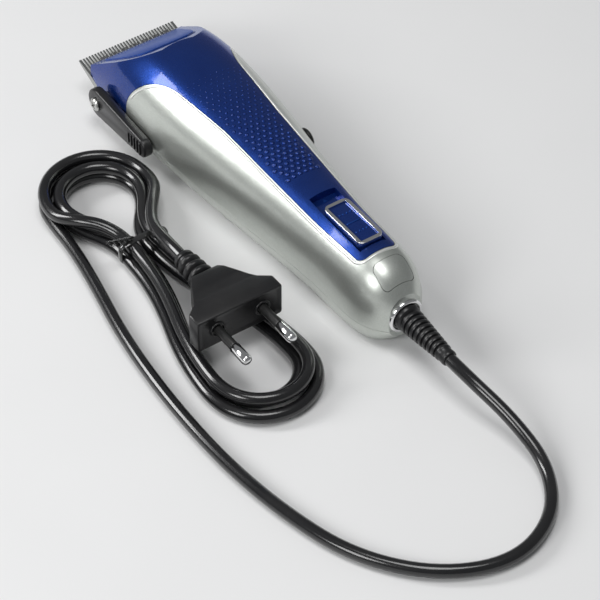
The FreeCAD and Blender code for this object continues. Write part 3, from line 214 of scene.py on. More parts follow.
# %% Place the camera
AZIMUTH, ELEVATION = math.radians(145.3), math.radians(44.9)
LENS, SENSOR = 150.0, 36.0
FILL = 0.93
FIRST_DISTANCE, PASSES = 1.3, 5
camera_data = bpy.data.cameras.new("camera")
camera = bpy.data.objects.new("camera", camera_data)
bpy.context.scene.collection.objects.link(camera)
bpy.context.scene.camera = camera
camera_data.lens = LENS
camera_data.sensor_width = SENSOR
camera_data.dof.use_dof = False
backwards = Vector((math.sin(AZIMUTH) * math.cos(ELEVATION), -math.cos(AZIMUTH) * math.cos(ELEVATION),
                    math.sin(ELEVATION)))
rightwards = Vector((0, 0, 1)).cross(backwards).normalized()
upwards = backwards.cross(rightwards)
points = [vertex.co.copy() for node in frame["nodes"].values() for vertex in node.data.vertices]
half_view = SENSOR / 2 / LENS
eye, distance = backwards * FIRST_DISTANCE, FIRST_DISTANCE
for _ in range(PASSES):
    across, height = [], []
    for point in points:
        away = point - eye
        depth = -away.dot(backwards)
        across.append(away.dot(rightwards) / depth)
        height.append(away.dot(upwards) / depth)
    eye += (rightwards * (min(across) + max(across)) + upwards * (min(height) + max(height))) / 2 * distance
    reach = max(max(across) - min(across), max(height) - min(height)) / 2
    further = distance * (reach / half_view / FILL - 1)
    eye += backwards * further
    distance += further
camera.location = eye
camera.rotation_mode = "QUATERNION"
camera.rotation_quaternion = (-backwards).to_track_quat("-Z", "Y")
camera_data.clip_start, camera_data.clip_end = 0.05, 20.0
print("camera stands", round(camera.location.length, 2), "m away")

# %% [markdown]
# ## The mains lead
# The lead is one smooth curve. It leaves the tail through the strain relief, comes down to the surface,
# sweeps round behind the clipper and up the side with the lever, and is then folded to and fro into a hank.
# All the folded runs pass through one tie, and the last one climbs over it to the plug. A NURBS curve of
# order 3 stays inside the corners of its control points, as a flexible lead does.

# %% Cord sizes
CORD = 4.8 * MM
LEAD_POINTS = [(0, 118, 14), (0, 129, 14), (-4, 148, 8.4), (-4, 168, 3.0), (8, 186, 2.6), (30, 194, 2.6),
               (54, 184, 2.6), (72, 162, 2.6), (80, 134, 2.6), (84, 104, 2.6), (84, 70, 2.6), (81, 36, 2.6),
               (75, 6, 2.8)]
HANK_X, TIE_Y = 51.4, 2.0
FRONT_Y, REAR_Y = -29.5, 78.0
OUTER, INNER = 20.0, 15.2
BASE, UPPER = 2.7, 7.55
SLOT_LOW, SLOT_HIGH = 2.95, 7.2
SLOT_SIDE, SLOT_MIDDLE, SLOT_TOP = 7.4, 2.5, 4.9
TIE_HALF = 2.0
FOLD_STEPS, FOLD_SWELL = 8, 0.4
SHORT_SHARES, LONG_SHARES = (0.2, 0.4, 0.6, 0.8), (0.1, 0.25, 0.4, 0.55, 0.7, 0.85)
EARLY = 1.25


# %% One fold of the hank
def fold(side, centre_y, radius, height, lean=0.0):
    """Nine points round one end of the hank. side is -1 at the front, which is gone round from right to left,
    and 1 at the rear, which is gone round from left to right."""
    found = []
    for step in range(FOLD_STEPS + 1):
        turn = math.pi * step / FOLD_STEPS
        swell = radius + FOLD_SWELL * math.sin(turn)
        across_x = -side * math.cos(turn) * swell + lean * math.sin(turn)
        found.append((HANK_X + across_x, centre_y + side * math.sin(turn) * swell, height))
    return found


# %% One run through the tie
def ease_across(share):
    """An even bend one way and then the other, from 0 to 1."""
    return 2 * share * share if share < 0.5 else 1 - 2 * (1 - share) ** 2


def half_run(start, end, shares, climbs=False, hump=0.0):
    """Points of a strand from one (x, y, height) to another. It can climb early, or pass over a neighbour."""
    found = []
    for share in shares:
        moved = ease_across(share)
        risen = ease_across(min(1.0, EARLY * share)) if climbs else moved
        found.append((HANK_X + start[0] + (end[0] - start[0]) * moved, start[1] + (end[1] - start[1]) * share,
                      start[2] + (end[2] - start[2]) * risen + hump * math.sin(math.pi * share) ** 2))
    return found


def run(start, slot, end, **over):
    """A strand from a fold, drawn in at the tie, to the other fold; each place is (x, y, height)."""
    forwards = start[1] > end[1]
    gate = TIE_HALF if forwards else -TIE_HALF
    before, after = (slot[0], TIE_Y + gate, slot[1]), (slot[0], TIE_Y - gate, slot[1])
    coming = half_run(start, before, LONG_SHARES if forwards else SHORT_SHARES)
    going = half_run(after, end, SHORT_SHARES if forwards else LONG_SHARES, **over)
    middle_of_tie = [(HANK_X + place[0], place[1], place[2]) for place in (before, after)]
    return coming + middle_of_tie + going


# %% The whole route
F2_Y, F3_Y, R2_Y, R3_Y = FRONT_Y + 1.0, FRONT_Y + 2.0, REAR_Y - 3.0, REAR_Y - 1.0
MIDDLE, NESTED = 17.0, 7.1
REAR_LEAN, HUMP = -0.6, 2.8
INTO_HANK = (72.0, -14, 2.7)
PLUG_RUN = ((-19.5, -23, 8.3), (-17.0, -17, 9.9), (-12.6, -11, 11.6), (-7.5, -4, 12.9), (-4.2, 2, 14.1),
            (-2.2, 9, 15.9), (-1.4, 17, 17.3), (-1.4, 26, 17.6), (-1.4, 34, 17.6))
route = list(LEAD_POINTS) + [INTO_HANK] + fold(-1, FRONT_Y, OUTER, BASE)
route += run((-OUTER, FRONT_Y, BASE), (-SLOT_SIDE, SLOT_LOW), (-OUTER, REAR_Y, BASE))
route += fold(1, REAR_Y, OUTER, BASE)
route += run((OUTER, REAR_Y, BASE), (SLOT_SIDE, SLOT_LOW), (INNER, F2_Y, BASE))
route += fold(-1, F2_Y, INNER, BASE)
route += run((-INNER, F2_Y, BASE), (-SLOT_MIDDLE, SLOT_LOW), (-INNER, R2_Y, BASE))
route += fold(1, R2_Y, INNER, BASE)
route += run((INNER, R2_Y, BASE), (SLOT_MIDDLE, SLOT_LOW), (INNER, F3_Y, UPPER), climbs=True)
route += fold(-1, F3_Y, INNER, UPPER)
route += run((-INNER, F3_Y, UPPER), (-SLOT_TOP, SLOT_HIGH), (-MIDDLE, R3_Y, NESTED))
route += fold(1, R3_Y, MIDDLE, NESTED, REAR_LEAN)
route += run((MIDDLE, R3_Y, NESTED), (SLOT_TOP, SLOT_HIGH), (OUTER, FRONT_Y, UPPER), hump=HUMP)
route += fold(-1, FRONT_Y, OUTER, UPPER)
route += [(HANK_X + x, y, z) for x, y, z in PLUG_RUN]
print(len(route), "points on the route of the lead")

# %% The cord as one NURBS curve
cord_curve = bpy.data.curves.new("mains_lead", "CURVE")
cord_curve.dimensions = "3D"
line = cord_curve.splines.new("NURBS")
line.points.add(len(route) - 1)
for control, point in zip(line.points, route):
    control.co = (point[0] * MM, point[1] * MM, point[2] * MM, 1.0)
line.order_u = 3
line.use_endpoint_u = True
cord_curve.resolution_u = 8
bare_line = bpy.data.objects.new("bare_line", cord_curve)
bare_points = [vertex.co.copy() for vertex in bpy.data.meshes.new_from_object(bare_line).vertices]
bpy.data.objects.remove(bare_line)
cord_curve.bevel_depth = CORD / 2
cord_curve.bevel_resolution = 4
cord_curve.use_fill_caps = True
mains_lead = bpy.data.objects.new("mains_lead", cord_curve)
bpy.context.scene.collection.objects.link(mains_lead)

# %% [markdown]
# ## Surface effects shared by several finishes
# Each effect is a small node group that reads Object coordinates in metres, so that its grain has a real
# size. A group gives out only masks, heights and values. The shader itself stays in each material.


# %% A helper that starts a node group
def effect_group(name, inputs, outputs):
    """An empty shader node group with named inputs (name, default) and outputs (name)."""
    group = bpy.data.node_groups.new(name, "ShaderNodeTree")
    for label, default in inputs:
        made = group.interface.new_socket(label, in_out="INPUT", socket_type="NodeSocketFloat")
        made.default_value = default
    for label in outputs:
        group.interface.new_socket(label, in_out="OUTPUT", socket_type="NodeSocketFloat")
    entry = group.nodes.new("NodeGroupInput")
    way_out = group.nodes.new("NodeGroupOutput")
    return group, entry, way_out


def add_node(tree, kind, links=(), **values):
    """A node with its values set; links are (its input, the socket that feeds it)."""
    made = tree.nodes.new(kind)
    for key, value in values.items():
        if key.startswith("in_"):
            made.inputs[int(key[3:])].default_value = value
        else:
            setattr(made, key, value)
    for place, source in links:
        tree.links.new(source, made.inputs[place])
    return made


def math_node(tree, operation, first, second=0.5, third=None, clamp=False):
    """A Math node fed by sockets or plain numbers."""
    made = tree.nodes.new("ShaderNodeMath")
    made.operation = operation
    made.use_clamp = clamp
    for place, value in enumerate((first, second) if third is None else (first, second, third)):
        if isinstance(value, (int, float)):
            made.inputs[place].default_value = value
        else:
            tree.links.new(value, made.inputs[place])
    return made.outputs[0]


# %% Moulded grain
BROAD_SHARE = 0.06


def make_grain():
    """Fine texture of a moulded or painted skin, with a slower change of tone over it."""
    group, entry, way_out = effect_group("moulded_grain", [("Scale", 1500.0)], ["Fine", "Broad"])
    where = add_node(group, "ShaderNodeTexCoord").outputs["Object"]
    fine = add_node(group, "ShaderNodeTexNoise", [("Vector", where), ("Scale", entry.outputs["Scale"])])
    fine.inputs["Detail"].default_value = 3.0
    slow = math_node(group, "MULTIPLY", entry.outputs["Scale"], BROAD_SHARE)
    broad = add_node(group, "ShaderNodeTexNoise", [("Vector", where), ("Scale", slow)])
    broad.inputs["Detail"].default_value = 2.0
    group.links.new(fine.outputs["Fac"], way_out.inputs["Fine"])
    group.links.new(broad.outputs["Fac"], way_out.inputs["Broad"])
    return group


moulded_grain = make_grain()
print("effect:", moulded_grain.name)


# %% Handling wear on edges
BLUNT_EDGE, SHARP_EDGE = 0.53, 0.66


def make_edge_wear():
    """A mask that is bright on sharp outer edges, broken up by noise, where handling thins a finish."""
    group, entry, way_out = effect_group("edge_wear", [("Amount", 0.5), ("Scale", 400.0)], ["Mask"])
    where = add_node(group, "ShaderNodeTexCoord").outputs["Object"]
    point = add_node(group, "ShaderNodeNewGeometry").outputs["Pointiness"]
    edge = add_node(group, "ShaderNodeMapRange", [("Value", point)])
    edge.inputs["From Min"].default_value, edge.inputs["From Max"].default_value = BLUNT_EDGE, SHARP_EDGE
    patch = add_node(group, "ShaderNodeTexNoise", [("Vector", where), ("Scale", entry.outputs["Scale"])])
    broken = math_node(group, "MULTIPLY", edge.outputs[0], patch.outputs["Fac"])
    mask = math_node(group, "MULTIPLY", broken, entry.outputs["Amount"], clamp=True)
    group.links.new(mask, way_out.inputs["Mask"])
    return group


edge_wear = make_edge_wear()
print("effect:", edge_wear.name)


# %% Settled dust
DUST_PATCHES = 60.0
THIN_DUST, THICK_DUST = 0.45, 0.75


def make_dust():
    """A mask of dust that settles on faces that look up, thicker in some places than in others."""
    group, entry, way_out = effect_group("settled_dust", [("Amount", 0.2)], ["Mask"])
    where = add_node(group, "ShaderNodeTexCoord").outputs["Object"]
    facing = add_node(group, "ShaderNodeNewGeometry").outputs["Normal"]
    up = add_node(group, "ShaderNodeSeparateXYZ", [("Vector", facing)]).outputs["Z"]
    level = math_node(group, "MAXIMUM", up, 0.0)
    cloud = add_node(group, "ShaderNodeTexNoise", [("Vector", where)])
    cloud.inputs["Scale"].default_value = DUST_PATCHES
    cloud.inputs["Detail"].default_value = 6.0
    thick = add_node(group, "ShaderNodeMapRange", [("Value", cloud.outputs["Fac"])])
    thick.inputs["From Min"].default_value, thick.inputs["From Max"].default_value = THIN_DUST, THICK_DUST
    both = math_node(group, "MULTIPLY", level, thick.outputs[0])
    mask = math_node(group, "MULTIPLY", both, entry.outputs["Amount"], clamp=True)
    group.links.new(mask, way_out.inputs["Mask"])
    return group


settled_dust = make_dust()
print("effect:", settled_dust.name)


# %% Brushed or ground lines
def make_brushed():
    """Long fine lines left by grinding. The three stretches say how far the lines run along each axis."""
    stretches = [("Along X", 1.0), ("Along Y", 40.0), ("Along Z", 1.0), ("Scale", 90.0)]
    group, entry, way_out = effect_group("ground_lines", stretches, ["Lines"])
    where = add_node(group, "ShaderNodeTexCoord").outputs["Object"]
    axes = [(place, entry.outputs[f"Along {axis}"]) for place, axis in enumerate("XYZ")]
    apart = add_node(group, "ShaderNodeCombineXYZ", axes)
    squeezed = add_node(group, "ShaderNodeVectorMath", [(0, where), (1, apart.outputs[0])],
                        operation="MULTIPLY")
    lines = add_node(group, "ShaderNodeTexNoise", [("Vector", squeezed.outputs[0]),
                                                   ("Scale", entry.outputs["Scale"])])
    lines.inputs["Detail"].default_value = 4.0
    group.links.new(lines.outputs["Fac"], way_out.inputs["Lines"])
    return group


ground_lines = make_brushed()
print("effect:", ground_lines.name)


# %% Metal flake under lacquer
def make_flake():
    """Tiny flat flakes in a lacquer: each cell of the pattern has a brightness of its own."""
    group, entry, way_out = effect_group("metal_flake", [("Scale", 2600.0)], ["Glint"])
    where = add_node(group, "ShaderNodeTexCoord").outputs["Object"]
    cells = add_node(group, "ShaderNodeTexVoronoi", [("Vector", where), ("Scale", entry.outputs["Scale"])])
    one = add_node(group, "ShaderNodeSeparateColor", [("Color", cells.outputs["Color"])]).outputs[0]
    group.links.new(one, way_out.inputs["Glint"])
    return group


metal_flake = make_flake()
print("effect:", metal_flake.name)


# %% [markdown]
# ## Finishes
# One function lays the effects over a Principled shader. The grain changes the tone and the roughness a
# little, wear shows a second colour on edges, dust greys the faces that look up, and a bump gives the grain
# its relief.

# %% The function that mixes a finish
DUST_COLOUR = (0.42, 0.40, 0.37, 1.0)
WORN_ROUGHER, DUSTY_ROUGHER = 0.15, 0.5
GLINT_GAIN, GLINT_LIFT = 2.2, 0.04
BUMP_STRENGTH = 0.6


def placed(tree, group, **values):
    """A shared effect put into a material with its own values."""
    made = tree.nodes.new("ShaderNodeGroup")
    made.node_tree = group
    for key, value in values.items():
        made.inputs[key.replace("_", " ")].default_value = value
    return made.outputs


def mix_colours(tree, share, first, second):
    """Two colours mixed by a mask."""
    made = tree.nodes.new("ShaderNodeMix")
    made.data_type = "RGBA"
    tree.links.new(share, made.inputs["Factor"])
    for place, value in ((6, first), (7, second)):
        if isinstance(value, tuple):
            made.inputs[place].default_value = value
        else:
            tree.links.new(value, made.inputs[place])
    return made.outputs[2]


def finish(name, colour, second, roughness, spread=0.08, metallic=0.0, grain=1500.0, relief=0.01, wear=0.0,
           worn=None, dust=0.0, lines=None, flake=0.0, **sockets):
    """A material: colour and second are two tones that the slow grain mixes, spread is how far the roughness
    changes, relief is the height of the grain in mm, and lines are the stretches of ground lines."""
    made = bpy.data.materials.new(name)
    made.use_nodes = True
    tree = made.node_tree
    shader = next(node for node in tree.nodes if node.type == "BSDF_PRINCIPLED")
    shader.inputs["Metallic"].default_value = metallic
    for key, value in sockets.items():
        shader.inputs[key.replace("_", " ")].default_value = value
    skin = placed(tree, moulded_grain, Scale=grain)
    tone = mix_colours(tree, skin["Broad"], (*colour, 1.0), (*second, 1.0))
    height = skin["Fine"]
    rough = math_node(tree, "MULTIPLY_ADD", skin["Fine"], spread, roughness - spread / 2)
    if lines:
        ground = placed(tree, ground_lines, Along_X=lines[0], Along_Y=lines[1], Along_Z=lines[2],
                        Scale=lines[3])
        height = ground["Lines"]
        rough = math_node(tree, "MULTIPLY_ADD", ground["Lines"], spread, roughness - spread / 2)
    if flake:
        glint = placed(tree, metal_flake)["Glint"]
        sparkle = math_node(tree, "MULTIPLY", glint, flake)
        bright = tuple(min(1.0, GLINT_GAIN * part + GLINT_LIFT) for part in colour) + (1.0,)
        tone = mix_colours(tree, sparkle, tone, bright)
    if wear:
        mask = placed(tree, edge_wear, Amount=wear)["Mask"]
        tone = mix_colours(tree, mask, tone, (*(worn or second), 1.0))
        rough = math_node(tree, "MULTIPLY_ADD", mask, WORN_ROUGHER, rough)
    if dust:
        film = placed(tree, settled_dust, Amount=dust)["Mask"]
        tone = mix_colours(tree, film, tone, DUST_COLOUR)
        rough = math_node(tree, "MULTIPLY_ADD", film, DUSTY_ROUGHER, rough, clamp=True)
    bump = tree.nodes.new("ShaderNodeBump")
    bump.inputs["Distance"].default_value = relief * MM
    bump.inputs["Strength"].default_value = BUMP_STRENGTH
    tree.links.new(height, bump.inputs["Height"])
    tree.links.new(tone, shader.inputs["Base Color"])
    tree.links.new(rough, shader.inputs["Roughness"])
    tree.links.new(bump.outputs["Normal"], shader.inputs["Normal"])
    return made


# %% The outer finishes
silver_paint = finish("satin_silver_paint", (0.50, 0.53, 0.49), (0.57, 0.60, 0.56), 0.36, 0.10, 0.85, 2200.0,
                      0.006, wear=0.35, worn=(0.74, 0.76, 0.73), dust=0.03, flake=0.10,
                      Coat_Weight=0.35, Coat_Roughness=0.18)
# The lip is the shell's silver paint made lighter: a painted highlight along the joint.
lip_highlight_paint = finish("lip_silver_painted_highlight", (0.80, 0.81, 0.78), (0.86, 0.87, 0.84), 0.34, 0.08, 0.55, 2200.0,
                   0.004, Coat_Weight=0.5, Coat_Roughness=0.15)
blue_lacquer = finish("blue_metallic_lacquer", (0.005, 0.028, 0.180), (0.008, 0.040, 0.230), 0.28, 0.06, 0.65,
                      1800.0, 0.003, dust=0.01, flake=0.06, Coat_Weight=0.6, Coat_Roughness=0.08,
                      Specular_IOR_Level=0.3, Specular_Tint=(0.30, 0.45, 0.95, 1.0))
blue_plate = finish("light_blue_plate", (0.012, 0.055, 0.270), (0.017, 0.070, 0.320), 0.34, 0.08, 0.6,
                    2000.0, 0.005, flake=0.06, Coat_Weight=0.15, Coat_Roughness=0.2, Specular_IOR_Level=0.25,
                    Specular_Tint=(0.30, 0.45, 0.95, 1.0))
black_plastic = finish("black_moulded_plastic", (0.007, 0.007, 0.008), (0.013, 0.013, 0.014), 0.32, 0.12, 0.0,
                       1400.0, 0.02, wear=0.25, worn=(0.05, 0.05, 0.05), dust=0.02)
bright_plating = finish("bright_chrome_plating", (0.80, 0.80, 0.80), (0.86, 0.86, 0.87), 0.10, 0.05, 1.0,
                        900.0, 0.002, dust=0.04)
print("outer finishes:", silver_paint.name, blue_lacquer.name, blue_plate.name, black_plastic.name)

# %% The metals
ground_steel = finish("ground_blade_steel", (0.36, 0.37, 0.36), (0.44, 0.45, 0.44), 0.24, 0.16, 1.0, 900.0,
                      0.006, wear=0.3, worn=(0.72, 0.72, 0.72), lines=(1.0, 30.0, 30.0, 110.0))
cutter_steel = finish("dark_cutter_steel", (0.13, 0.13, 0.14), (0.19, 0.19, 0.20), 0.30, 0.14, 1.0, 900.0,
                      0.006, wear=0.5, worn=(0.5, 0.5, 0.5), lines=(30.0, 1.0, 30.0, 110.0))
zinc_screw = finish("zinc_plated_screws", (0.50, 0.51, 0.50), (0.58, 0.57, 0.54), 0.30, 0.14, 1.0, 1100.0,
                    0.008, wear=0.4, worn=(0.72, 0.72, 0.7), dust=0.06)
motor_iron = finish("stamped_motor_iron", (0.20, 0.20, 0.21), (0.27, 0.25, 0.24), 0.42, 0.18, 1.0, 700.0,
                    0.01, lines=(200.0, 1.0, 1.0, 60.0), dust=0.1)
winding_wire = finish("enamelled_winding", (0.45, 0.13, 0.035), (0.56, 0.19, 0.06), 0.28, 0.12, 0.9, 900.0,
                      0.05, lines=(260.0, 2.0, 2.0, 20.0), Coat_Weight=0.6)
leaf_spring = finish("blued_spring_steel", (0.30, 0.30, 0.34), (0.38, 0.37, 0.38), 0.26, 0.12, 1.0, 900.0,
                     0.004, lines=(1.0, 1.0, 40.0, 90.0))
print("metals:", ground_steel.name, cutter_steel.name, zinc_screw.name, motor_iron.name, leaf_spring.name)

# %% The soft and hidden plastics
cord_skin = finish("black_cord_jacket", (0.006, 0.006, 0.007), (0.011, 0.011, 0.012), 0.20, 0.08, 0.0, 1200.0,
                   0.012, dust=0.02, Coat_Weight=0.4, Coat_Roughness=0.10)
plug_rubber = finish("black_plug_rubber", (0.008, 0.008, 0.009), (0.014, 0.014, 0.015), 0.30, 0.12, 0.0,
                     1500.0, 0.02, wear=0.2, worn=(0.05, 0.05, 0.05), dust=0.02)
pin_sleeve = finish("pin_sleeve_plastic", (0.014, 0.014, 0.014), (0.022, 0.022, 0.022), 0.30, 0.08)
tie_wire = finish("tie_wire_coating", (0.012, 0.012, 0.012), (0.03, 0.03, 0.03), 0.16, 0.06, 0.0, 900.0,
                  0.004, Coat_Weight=0.8)
white_nylon = finish("white_nylon", (0.74, 0.73, 0.68), (0.80, 0.79, 0.75), 0.42, 0.10, 0.0, 1300.0, 0.012,
                     Subsurface_Weight=0.08)
grey_inner = finish("grey_inner_plastic", (0.10, 0.10, 0.105), (0.14, 0.14, 0.145), 0.48, 0.12, 0.0, 1100.0,
                    0.02, dust=0.08)
wire_skin = finish("inner_wire_skin", (0.30, 0.05, 0.03), (0.36, 0.07, 0.05), 0.34, 0.08, 0.0, 1200.0, 0.006)
print("soft finishes:", cord_skin.name, plug_rubber.name, tie_wire.name)

# %% Give every CAD piece its finish
FINISHES = {"silver": silver_paint, "blue": blue_lacquer, "black": black_plastic, "steel": ground_steel,
            "dark_steel": cutter_steel, "zinc": zinc_screw, "lamination": motor_iron, "copper": winding_wire,
            "nylon": white_nylon, "spring_steel": leaf_spring, "inner_plastic": grey_inner,
            "chrome": bright_plating, "cord": cord_skin, "sleeve": pin_sleeve, "rubber": plug_rubber,
            "wire": wire_skin, "tie": tie_wire}
slot_of = {part["node"]: part["material_slot"] for part in frame["record"]["subparts"]}
for node, piece in frame["nodes"].items():
    piece.data.materials.clear()
    piece.data.materials.append(FINISHES[slot_of[node]])
print("finished", len(slot_of), "nodes")

# %% [markdown]
# ## The pieces of the cord
# The lead, its folded hank and the run to the plug are one jacket, so one curve stands for all three CAD
# tubes.

# %% Dress the cord
cord_curve.materials.append(cord_skin)
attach(mains_lead, "housing")
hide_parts("cord_lead", "cord_hank", "cord_end")


# %% A helper that puts a finished piece on its body
def fit(piece, finish_name, stands_for=(), body=None):
    """Gives a piece its finish, hides the CAD nodes it stands for and lets it ride on their body."""
    piece.data.materials.clear()
    piece.data.materials.append(FINISHES[finish_name])
    host = body or body_of(frame["nodes"][stands_for[0]])[0]
    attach(piece, host)
    if stands_for:
        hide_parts(*stands_for)
    print(f"{piece.name}: {len(piece.data.polygons)} faces on {host}")
    return piece


# %% [markdown]
# ### Strain relief
# A soft sleeve with deep grooves spreads the cord's bend over its length. It is drawn as a circle that is
# extruded along the cord and scaled at each step, once in and out for each rib.

# %% Draw the ribbed sleeve
CORD_Z = 14
RIBS, RIBS_START, RIBS_SHORT = 9, 95.2, 3.2
FIRST_RIB, RIB_LOSS = 4.85, 1.55
SLEEVE_ROOT = [(87.2, 4.4), (92.15, 4.4), (92.2, 4.9), (92.5, 5.2), (94.3, 5.2), (94.7, 4.9)]
ONE_RIB = [(0, 0.75), (0.25, 0.75), (0.33, 0.15), (0.45, 0), (0.80, 0.05), (0.92, 0.2)]
SLEEVE_TIP = [(3.0, 2.85), (1.0, 3.05), (0.3, 2.95), (0, 2.7)]
relief_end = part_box("strain_relief")[1][1] / MM
relief_rings = list(SLEEVE_ROOT)
rib_pitch = (relief_end - RIBS_SHORT - RIBS_START) / RIBS
for rib in range(RIBS):
    at = RIBS_START + rib * rib_pitch
    wide = FIRST_RIB - RIB_LOSS * rib / (RIBS - 1)
    relief_rings += [(at + share * rib_pitch, wide - sunk) for share, sunk in ONE_RIB]
relief_rings += [(relief_end - back, radius) for back, radius in SLEEVE_TIP]
ribbed_sleeve = drawn_rings("ribbed_sleeve", "y", (0, 0, CORD_Z * MM),
                            [(a * MM, r * MM) for a, r in relief_rings], 40)
fit(ribbed_sleeve, "rubber", ("strain_relief",))

# %% [markdown]
# ### Plug
# The plug is one moulding: a wide flange in front, a body that narrows towards the cord, and a ribbed neck
# that bends with it. A block is pulled back and narrowed step by step, its front face is stepped in, and its
# edges are rounded.

# %% Mould the plug
FLANGE = 6
PLUG_STEPS = ((3.2, 13.4, 6.6), (3.0, 11.6, 6.2), (4.0, 9.6, 5.9), (4.5, 7.2, 5.6), (2.3, 5.4, 5.0))
PANEL_FROM, PANEL_TO = 46, 56
plug_low, plug_high = [[value / MM for value in corner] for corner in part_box("plug_body")]
plug_x, plug_z = (plug_low[0] + plug_high[0]) / 2, (plug_low[2] + plug_high[2]) / 2
plug_front = plug_high[1]
half_wide, half_thick = (plug_high[0] - plug_low[0]) / 2, (plug_high[2] - plug_low[2]) / 2
nothing_selected()
bpy.ops.mesh.primitive_cube_add(size=1, location=(plug_x * MM, (plug_front - FLANGE / 2) * MM, plug_z * MM),
                                scale=(2 * half_wide * MM, FLANGE * MM, 2 * half_thick * MM))
plug_block = settle(bpy.context.object, "plug_moulding")
bpy.ops.object.mode_set(mode="EDIT")
reached, wide, thick = plug_front - FLANGE, half_wide, half_thick
for back, new_wide, new_thick in PLUG_STEPS:
    pick_faces(plug_block, lambda centre, normal: normal.y < -0.9 and abs(centre.y / MM - reached) < 0.1)
    bpy.ops.mesh.extrude_region_move(TRANSFORM_OT_translate={"value": (0, -back * MM, 0)})
    reached -= back
    bpy.ops.transform.resize(value=(new_wide / wide, 1, new_thick / thick),
                             center_override=(plug_x * MM, reached * MM, plug_z * MM))
    wide, thick = new_wide, new_thick
pick_faces(plug_block, lambda centre, normal: normal.y > 0.9 and abs(centre.y / MM - plug_front) < 0.1)
bpy.ops.mesh.inset(thickness=1.6 * MM, depth=-0.5 * MM)
pick_faces(plug_block, lambda centre, normal: abs(normal.z) > 0.9 and PANEL_FROM < centre.y / MM < PANEL_TO)
bpy.ops.mesh.inset(thickness=1.3 * MM, depth=-0.35 * MM)
bpy.ops.object.mode_set(mode="OBJECT")
apply_modifier(plug_block, "BEVEL", width=0.9 * MM, segments=3, limit_method="ANGLE",
               angle_limit=math.radians(24))
smooth(plug_block, 40)

# %% The plug's neck and the rims round its pins
PIN_SIDE = 9.3
neck_rings = [(27.0, 2.7), (27.1, 3.6), (27.6, 3.9), (28.8, 3.9), (29.1, 3.4)]
for rib in range(3):
    start = 30.0 + 3.6 * rib
    wide = 4.5 + 0.25 * rib
    neck_rings += [(start, 3.35), (start + 0.5, wide - 0.3), (start + 0.9, wide), (start + 1.9, wide),
                   (start + 2.3, wide - 0.3), (start + 2.8, 3.4)]
neck_rings += [(41.2, 3.6), (42.5, 4.7), (44.0, 4.9)]
plug_neck = drawn_rings("plug_neck", "y", (plug_x * MM, 0, plug_z * MM),
                        [(a * MM, r * MM) for a, r in neck_rings], 32)
rims = []
for side in (-1, 1):
    nothing_selected()
    place = Vector((plug_x + side * PIN_SIDE, plug_front - 0.35, plug_z)) * MM
    bpy.ops.mesh.primitive_torus_add(major_radius=2.7 * MM, minor_radius=0.45 * MM, major_segments=32,
                                     minor_segments=8, location=place, rotation=(math.pi / 2, 0, 0))
    rims.append(smooth(settle(bpy.context.object, f"pin_rim_{side}"), 60))
plug_whole = joined([plug_block, plug_neck] + rims, "plug_moulding")
fit(plug_whole, "rubber", ("plug_body",))

# %% [markdown]
# ### Plug pins
# Each pin is a round brass rod, plated bright, with a domed tip. The half next to the plug has a thin
# insulating sleeve.

# %% Turn the pins and their sleeves
PIN_RINGS = [(61, 1.4), (73.9, 1.4), (74.0, 1.85), (74.2, 2.0), (81.4, 2.0), (82.2, 1.75), (82.75, 1.2),
             (83.0, 0.5)]
JACKET_RINGS = [(61, 1.75), (73.6, 1.75), (73.9, 1.6)]
pins, sleeves = [], []
for side in (-1, 1):
    place = ((plug_x + side * PIN_SIDE) * MM, 0, plug_z * MM)
    pins.append(drawn_rings(f"pin_{side}", "y", place, [(a * MM, r * MM) for a, r in PIN_RINGS], 28))
    sleeves.append(drawn_rings(f"sleeve_{side}", "y", place, [(a * MM, r * MM) for a, r in JACKET_RINGS], 28))
bright_pins = fit(joined(pins, "bright_pins"), "chrome", ("plug_pins",))
pin_sleeves = fit(joined(sleeves, "pin_insulation"), "sleeve", ("pin_sleeves",))

# %% [markdown]
# ### Hank tie
# A coated wire goes once round the folded lead and its two ends are twisted together. The band is a ring that
# is squeezed to the bundle's outline; each end is a small circle drawn along a screw line.

# %% Wind the tie
SQUARENESS = 0.45
BAND_HALF_WIDE, BAND_HALF_HIGH, BAND_Z = 9.75, 4.55, 5.1
BAND_THICK_X, BAND_THICK_Y, BAND_THICK_Z = 8, 20, 6
nothing_selected()
bpy.ops.mesh.primitive_torus_add(major_radius=1.0, minor_radius=0.07, major_segments=64, minor_segments=10,
                                 location=(0, 0, 0), rotation=(math.pi / 2, 0, 0))
band = settle(bpy.context.object, "tie_band")
bpy.ops.object.mode_set(mode="EDIT")
loop_mesh = bmesh.from_edit_mesh(band.data)
for vertex in loop_mesh.verts:
    angle = math.atan2(vertex.co.z, vertex.co.x)
    outward = math.hypot(vertex.co.x, vertex.co.z) - 1.0
    flat_x = math.copysign(abs(math.cos(angle)) ** SQUARENESS, math.cos(angle))
    flat_z = math.copysign(abs(math.sin(angle)) ** SQUARENESS, math.sin(angle))
    vertex.co = Vector(((HANK_X + flat_x * (BAND_HALF_WIDE + BAND_THICK_X * outward)) * MM,
                        (TIE_Y + vertex.co.y * BAND_THICK_Y) * MM,
                        (BAND_Z + flat_z * (BAND_HALF_HIGH + BAND_THICK_Z * outward)) * MM))
bmesh.update_edit_mesh(band.data)
bpy.ops.object.mode_set(mode="OBJECT")
smooth(fix_normals(band), 60)

